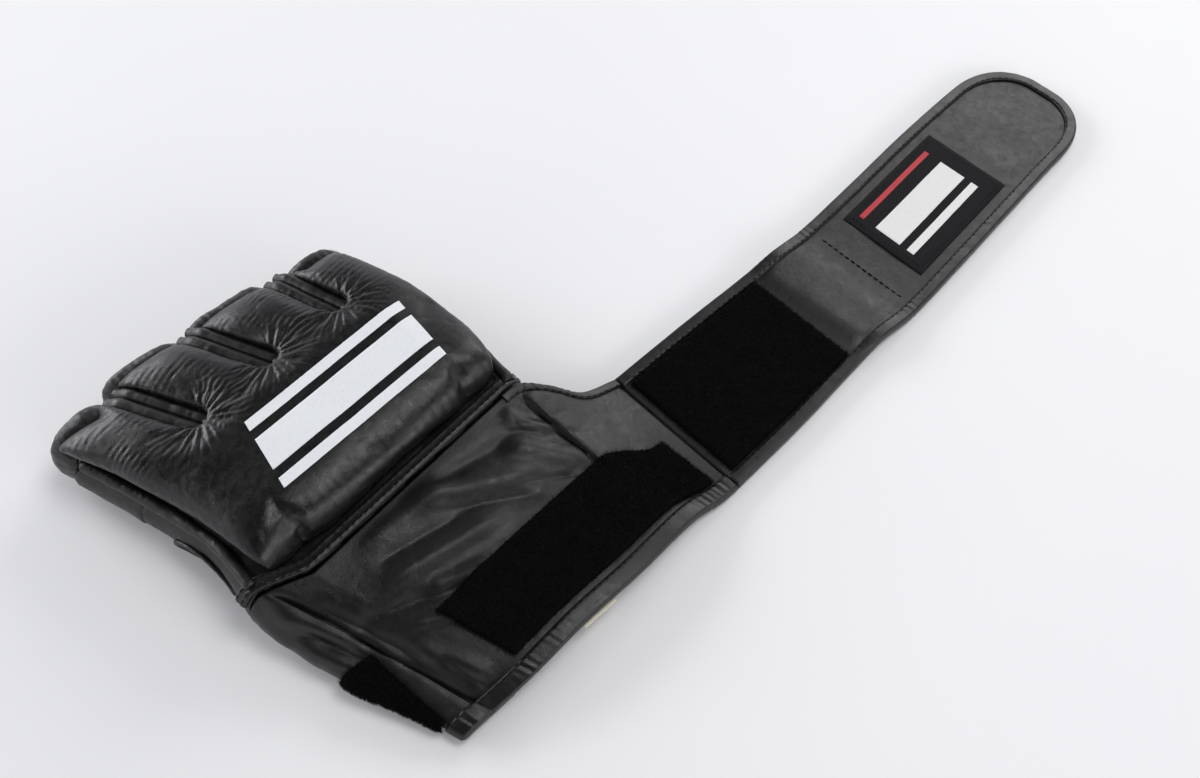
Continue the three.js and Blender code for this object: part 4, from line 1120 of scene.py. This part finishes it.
def build_wrist_seam():
    """The raised strip between pad and cuff, bent down over both shoulders, with its stitches."""
    left = along(HAND_SIDES, "thumb", 0.0) * HAND_WIDTH
    right = along(HAND_SIDES, "pinky", SEAM_WIDTH / HAND_LENGTH) * HAND_WIDTH + GAP
    lift = GAP + SEAM_THICKNESS / 2
    reach = SHOULDER + lift
    lean = np.radians(np.linspace(60, 0, 30))
    turn_x = reach * np.sin(lean)
    turn_z = WRIST_HEIGHT - SHOULDER + reach * np.cos(lean)
    flat_x = np.linspace(left + SHOULDER, right - SHOULDER, 420)[1:-1]
    xs = np.concatenate([left + SHOULDER - turn_x, flat_x, (right - SHOULDER + turn_x)[::-1]])
    zs = np.concatenate([turn_z, np.full(len(flat_x), WRIST_HEIGHT + lift), turn_z[::-1]])
    ups = np.concatenate([stack(-np.sin(lean), 0, np.cos(lean)), stack(0 * flat_x, 0, 1),
                          stack(np.sin(lean), 0, np.cos(lean))[::-1]])
    path = stack(xs, seam_y(xs) + SEAM_WIDTH / 2, zs)
    soften = path[:, 1].copy()
    for _ in range(60):
        soften[1:-1] += 0.5 * ((soften[:-2] + soften[2:]) / 2 - soften[1:-1])
    path[:, 1] = soften
    across, upward_way = path_frames(path, ups)
    count = 28
    turns = np.linspace(0, 2 * np.pi, count, endpoint=False)
    section_x = SEAM_WIDTH / 2 * np.sign(np.cos(turns)) * np.abs(np.cos(turns)) ** 0.7
    section_y = SEAM_THICKNESS / 2 * np.sign(np.sin(turns)) * np.abs(np.sin(turns)) ** 0.7
    groove = -0.45 * np.exp(-((section_x + 0.2) / 0.5) ** 2) * (section_y > 0)
    lengths = distances(path)
    rows = []
    for k in range(len(path)):
        pucker = (0.07 * math.sin(lengths[k] * 2 * math.pi / SEAM_PITCH)
                  + 0.10 * float(noise(np.array([lengths[k], 0, 0]), 2.3, 5)))
        y = section_y + groove + np.where(section_y > 0, pucker * np.abs(section_x) / SEAM_WIDTH * 2, 0)
        rows.append(path[k] + np.outer(section_x, across[k]) + np.outer(y, upward_way[k]))
    add_mesh("wrist_seam", np.concatenate(rows), tube_faces(len(path), count), binding_leather,
             ("wrist_seam_binding",))
    stitches = []
    for offset in SEAM_ROWS:
        stitches.append((path + across * offset + upward_way * (SEAM_THICKNESS / 2 - 0.05), upward_way))
    add_stitches("wrist_seam_stitches", stitches, thread, "binding", length=2.2, pause=0.9)


build_wrist_seam()


def edge_rows(surface, us, v):
    """Edge of a surface at a fixed v, with the way into the sheet and the normal at each point."""
    step = 2e-3
    inside = v - step if v > 0.5 else v + step
    edge = surface(us, np.full_like(us, v))
    into = unit(surface(us, np.full_like(us, inside)) - edge)
    normal = unit(np.cross(unit(np.gradient(edge, axis=0)), into))
    return edge, into, upward(normal)


def build_bindings():
    """The folded tapes round the open edges of cuff, notch and strap, and their stitches."""
    us = np.linspace(0, 1 - 0.5 * GAP / STRAP_START, 420)
    edge, into, normal = edge_rows(cuff_surface, us, 1 - CUFF_INSET)
    tape_mesh("cuff_edge", edge, into, normal, BINDING_WIDTH, LEATHER, binding_leather,
              ("edge_binding_cuff",), 0.05, ((20, 0.2), (34, 0.12), (118, 0.2), (126, 0.16)))
    rows = [(edge + into * (BINDING_WIDTH - 0.9) + normal * (LEATHER / 2 + GAP + BINDING_WALL - 0.25), normal)]
    us = np.linspace(0.38, 0.0, 120)
    v = 1 - CUFF_INSET
    side_edge = side_surface(us, np.full_like(us, v))
    side_into = unit(side_surface(us, np.full_like(us, v - 2e-3)) - side_edge)
    ahead = np.gradient(side_edge, axis=0)
    side_normal = np.stack([-ahead[:, 2], 0 * ahead[:, 0], ahead[:, 0]], 1)
    side_normal = unit(side_normal)
    side_normal = np.where((side_normal @ np.array([-0.6, 0, 0.8]))[:, None] < 0, -side_normal, side_normal)
    tape_mesh("cuff_side_edge", side_edge, side_into, side_normal, BINDING_WIDTH, LEATHER, binding_leather,
              ("edge_binding_side",), 0.12, ((6, 0.3),))
    us = np.linspace(0.69, 1 - 0.5 * GAP / STRAP_START, 200)
    edge, into, normal = edge_rows(cuff_surface, us, 0.0)
    tape_mesh("notch_edge", edge, into, normal, NOTCH_BINDING_WIDTH, LEATHER, binding_leather,
              ("edge_binding_notch",), 0.1, ((14, 0.25), (30, 0.3)))
    lift = LEATHER / 2 + GAP + BINDING_WALL - 0.2
    rows.append((edge + into * (NOTCH_BINDING_WIDTH - 0.6) + normal * lift, normal))
    add_stitches("cuff_stitches", rows, thread, "binding", length=2.4, pause=0.9)

    start = 0.5 * GAP / STRAP_LENGTH
    run = np.concatenate([np.linspace(start, 0.87, 420), 1 - (1 - 0.87) * np.linspace(1, 0, 160)[1:] ** 1.6])
    lower = strap_surface(run, np.zeros_like(run))
    upper = strap_surface(run[::-1], np.ones_like(run))
    end = lerp(lower[-1], upper[0], np.linspace(0, 1, 9)[1:-1, None])
    edge, lengths = even_path(np.concatenate([lower, end, upper]), 1.0)
    for _ in range(4):
        edge[1:-1] += 0.5 * ((edge[:-2] + edge[2:]) / 2 - edge[1:-1])
    ahead = unit(np.gradient(edge, axis=0))
    normal = np.tile(UP, (len(edge), 1))
    into = np.cross(normal, ahead)
    spots = ((88, 0.22), (121, 0.25), (lengths[-1] - 120, 0.25), (lengths[-1] - 92, 0.2))
    tape_mesh("strap_edge", edge, into, normal, STRAP_BINDING_WIDTH, STRAP_LEATHER, binding_leather,
              ("edge_binding_strap",), 0.07, spots)
    top = STRAP_LEATHER / 2 + GAP + BINDING_WALL
    row = edge + into * (STRAP_BINDING_WIDTH - 0.8) + normal * (top - 0.2)
    cross = strap_surface(np.full(60, CROSS_STITCHES), np.linspace(0.12, 0.88, 60))
    ups = np.tile(UP, (len(cross), 1))
    rows = [(row[3:-3], normal[3:-3]), (cross + ups * (STRAP_LEATHER / 2 + 0.1), ups)]
    add_stitches("strap_stitches", rows, thread, "binding", length=2.4, pause=0.9)


build_bindings()


def build_strap():
    """The strap's leather, with soft dents on its upper side."""
    u = np.concatenate([np.linspace(0, 0.86, 240), np.linspace(0.86, 1, 64)[1:]])[:, None]
    v = np.linspace(0, 1, 66)[None, :]
    grid = strap_surface(u, v)
    normals = upward(grid_normals(grid))
    normals[-1] = UP
    inner = smooth(np.minimum(v, 1 - v) * 60, 3, 8) * (1 - smooth(u, 0.96, 0.99))
    out = strap_drape(grid) * inner
    half = STRAP_LEATHER / 2
    obj = sheet_mesh("strap_leather", grid, normals, np.full(grid.shape[:2], -half), half + out,
                     soft_leather, ("strap",))


build_strap()


def strap_patch_grid(u0, u1, v0, v1, rows, columns):
    u = np.linspace(u0, u1, rows)[:, None]
    v = np.linspace(v0, v1, columns)[None, :]
    grid = strap_surface(u, v)
    return grid, upward(grid_normals(grid)), u, v


def build_patches():
    edge = (STRAP_BINDING_WIDTH + 1.5 * GAP) / (2 * (STRAP_HALF_WIDTH - BINDING_WALL - GAP))
    grid, normals, _, _ = strap_patch_grid(0.012, 0.288, edge, 1 - edge, 130, 95)
    base = grid + normals * (STRAP_LEATHER / 2)
    pile_patch("strap_pile", "strap_loop_patch", base, normals, PILE, 11000, 101)

    end = 1 - CUFF_INSET - 1.25 * (BINDING_WIDTH + GAP) / CUFF_LENGTH
    grid, normals = cuff_grid(180, 60, 0.165, 0.955, 0.5, end)
    resting = drop_on(cuff_tree, grid)
    pile_patch("cuff_pile", "cuff_loop_patch", resting, normals, PILE, 11000, 111)

    share = np.linspace(0, 1, 72)[:, None]
    v = np.linspace(0.48, 0.88, 60)[None, :]
    grid = side_surface(lerp(lerp(0.12, 0.27, (v - 0.48) / 0.4), 0.47, share), v)
    normals = outward_normals(grid, 5, 30)
    pile_patch("side_pile", "side_loop_patch", grid + normals * (LEATHER / 2 + 0.35), normals, SIDE_PILE, 5500, 121)

    grid, normals, _, _ = strap_patch_grid(0.45, 0.88, 0.12, 0.88, 120, 50)
    bristle = 0.12 * noise(grid, 0.9, 131)
    sheet_mesh("hook_face", grid, normals, -STRAP_LEATHER / 2 - GAP - HOOK_THICKNESS + 0.1 + bristle,
               np.full(grid.shape[:2], -STRAP_LEATHER / 2 - 0.02), hook, ("strap_hook_patch",))

    across = LABEL_WIDTH / (2 * STRAP_HALF_WIDTH)
    low_v, high_v = 0.5 - across / 2, 0.5 + across / 2
    low_u, high_u = 0.497, 0.497 + LABEL_LENGTH / STRAP_LENGTH
    grid, normals, u, v = strap_patch_grid(low_u, high_u, low_v, high_v, 90, 60)
    inner = patch_outline(grid, 2.5)
    top = STRAP_LEATHER / 2 + GAP + LABEL_THICKNESS * (0.35 + 0.65 * inner) + 0.10 * noise(grid, 9, 141)
    sheet_mesh("label_cloth", grid, normals, np.full(grid.shape[:2], STRAP_LEATHER / 2 + 0.02), top, woven,
               ("label_patch",))
    rows = []
    share = np.linspace(0, 1, 60)
    inset_u, inset_v = 2.6 / STRAP_LENGTH, 2.6 / (2 * STRAP_HALF_WIDTH)
    corners = [(low_u + inset_u, low_v + inset_v), (high_u - inset_u, low_v + inset_v),
               (high_u - inset_u, high_v - inset_v), (low_u + inset_u, high_v - inset_v)]
    lift = np.array([0, 0, STRAP_LEATHER / 2 + GAP + LABEL_THICKNESS - 0.1])
    for k in range(4):
        a, b = corners[k], corners[(k + 1) % 4]
        path = strap_surface(lerp(a[0], b[0], share), lerp(a[1], b[1], share)) + lift
        rows.append((path, np.tile(UP, (len(path), 1))))
    add_stitches("label_stitches", rows, thread, "woven_label", length=1.7, pause=0.6, width=0.35)

    def bar(name, u0, u1, v0, v1, material):
        patch, up, _, _ = strap_patch_grid(u0, u1, v0, v1, 60, 24)
        height = STRAP_LEATHER / 2 + GAP + LABEL_THICKNESS + 0.10 * noise(patch, 9, 141)
        sheet_mesh(name, patch, up, height - 0.1, height + 0.07, material)

    def place(gx, gy):
        return (gx - 107 - STRAP_START) / (STRAP_LENGTH - 1.3), gy

    def v_of(gy, share_u):
        middle = SEAM_MIDDLE - float(along(STRAP, "y", share_u)) * CUFF_LENGTH
        return (gy - 200 - middle) / (2 * (STRAP_HALF_WIDTH - 1.3)) + 0.5

    centre_u = place(381, 0)[0]
    u0, u1 = place(354, 0)[0], place(410, 0)[0]
    bar("label_bar_red", u0, u1, v_of(171, centre_u), v_of(173.6, centre_u), red_print)
    bar("label_bar_wide", u0, u1, v_of(150, centre_u), v_of(164, centre_u), label_print)
    bar("label_bar_low", u0, u1, v_of(142, centre_u), v_of(146, centre_u), label_print)


build_patches()


def build_tag():
    past = 1 + BINDING_WALL / CUFF_LENGTH
    u = np.linspace(0.31, 0.31 + TAG_WIDTH / CUFF_WIDTH, 40)[:, None]
    v = np.linspace(past - TAG_LENGTH / CUFF_LENGTH, past, 40)[None, :]
    inside = cuff_surface(u, np.minimum(v, 1))
    beyond = (cuff_surface(u, 1 + 0 * v) - cuff_surface(u, 0.99 + 0 * v)) * 100 * np.maximum(v - 1, 0)[..., None]
    grid = inside + beyond
    normals = upward(grid_normals(grid))
    depth = LEATHER / 2 + 2 * GAP + BINDING_WALL
    wave = 0.12 * np.sin(grid[..., 0] * 0.7)
    sheet_mesh("sewn_tag", grid, normals, -depth - TAG_THICKNESS + wave, -depth + wave, tag_cloth, ("care_tag",))


build_tag()


# Print on the pad
def surface_tree(obj):
    points = solid_points(obj)
    faces = [tuple(polygon.vertices) for polygon in obj.data.polygons]
    return BVHTree.FromPolygons([Vector(point) for point in points], faces)


def decal(name, corners, tree, rows, columns, material, lift=0.14):
    """Thin print laid on a surface from above, between four corners in the plane."""
    a, b, c, d = (np.array(corner, float) for corner in corners)
    s = np.linspace(0, 1, rows)[:, None, None]
    t = np.linspace(0, 1, columns)[None, :, None]
    flat = lerp(lerp(a, b, s), lerp(d, c, s), t)
    grid = np.concatenate([flat, np.full(flat.shape[:2] + (1,), 38.0)], -1)
    grid = drop_on(tree, grid, 20)
    normals = upward(grid_normals(grid))
    sheet_mesh(name, grid, normals, np.full(grid.shape[:2], -0.15), np.full(grid.shape[:2], lift), material)


pad_tree = surface_tree(pad)
low_left, high_left = np.array([-37, 17.0]), np.array([-31, 50.0])
low_right, high_right = np.array([43, 22.0]), np.array([47, 56.0])


def print_bar(name, low, high):
    corners = (lerp(low_left, high_left, low), lerp(low_right, high_right, low),
               lerp(low_right, high_right, high), lerp(low_left, high_left, high))
    decal(name, corners, pad_tree, 100, 28, white_print)


print_bar("pad_bar_low", 0.0, 0.14)
print_bar("pad_bar_wide", 0.27, 0.73)
print_bar("pad_bar_high", 0.86, 1.0)


# Floor, lights and camera
def plain_floor():
    mesh = bpy.data.meshes.new("floor")
    mesh.from_pydata([(-6, -6, 0), (6, -6, 0), (6, 6, 0), (-6, 6, 0)], [], [(0, 1, 2, 3)])
    floor = bpy.data.objects.new("floor", mesh)
    bpy.context.collection.objects.link(floor)
    material, nodes, links, shader, place = material_named("floor_look", (0.86, 0.86, 0.88), 0.75)
    mottle = noise_node(nodes, links, place, 3, 3)
    tone = ramp(nodes, links, mottle, [(0.3, (0.86, 0.86, 0.875)), (0.7, (0.885, 0.885, 0.895))])
    links.new(tone, shader.inputs["Base Color"])
    floor.data.materials.append(material)


def area_light(name, place, target, size, energy, color=(1, 1, 1)):
    data = bpy.data.lights.new(name, "AREA")
    data.shape = "RECTANGLE"
    data.size, data.size_y = size
    data.energy = energy
    data.color = color
    light = bpy.data.objects.new(name, data)
    bpy.context.collection.objects.link(light)
    light.location = place
    light.rotation_euler = (Vector(target) - Vector(place)).to_track_quat("-Z", "Y").to_euler()


def camera():
    data = bpy.data.cameras.new("camera")
    data.sensor_width = 36
    data.lens = 36
    data.clip_start = 0.01
    obj = bpy.data.objects.new("camera", data)
    bpy.context.collection.objects.link(obj)
    roll = math.radians(3)
    right = Vector((0.682, -0.731, 0.0))
    up = Vector((0.6134, 0.5720, 0.5446))
    back = Vector((-0.3983, -0.3714, 0.8387))
    turned_right = right * math.cos(roll) + up * math.sin(roll)
    turned_up = -right * math.sin(roll) + up * math.cos(roll)
    rotation = Matrix((turned_right, turned_up, back)).transposed()
    obj.matrix_world = Matrix.Translation((-0.107, -0.230, 0.425)) @ rotation.to_4x4()
    bpy.context.scene.camera = obj


plain_floor()
area_light("key", (0.45, -0.30, 1.30), (0.06, 0, 0), (0.6, 0.6), 6.5)
area_light("right", (1.32, 0.28, 0.80), (0.25, 0, 0), (0.7, 0.5), 5.5)
area_light("back", (-0.50, 1.25, 0.50), (-0.05, 0.04, 0), (1.3, 0.45), 13, (0.97, 0.98, 1.0))
area_light("front", (0.2, -1.3, 0.45), (0, -0.05, 0), (1.2, 0.35), 5)
world = bpy.data.worlds.new("studio")
bpy.context.scene.world = world
world.use_nodes = True
sky, sky_links = world.node_tree.nodes, world.node_tree.links
way = sky.new("ShaderNodeTexCoord")
split = sky.new("ShaderNodeSeparateXYZ")
sky_links.new(way.outputs["Generated"], split.inputs[0])
tone = ramp(sky, sky_links, split.outputs["Z"], [
    (0.0, (0.96, 0.96, 1.0)), (0.2, (0.84, 0.84, 0.88)), (0.45, (0.34, 0.34, 0.36)),
    (0.75, (0.07, 0.07, 0.076)), (1.0, (0.03, 0.03, 0.033)),
])
sky_links.new(tone, sky["Background"].inputs["Color"])
sky["Background"].inputs["Strength"].default_value = 1.4
bpy.context.scene.view_settings.view_transform = "Standard"
camera()
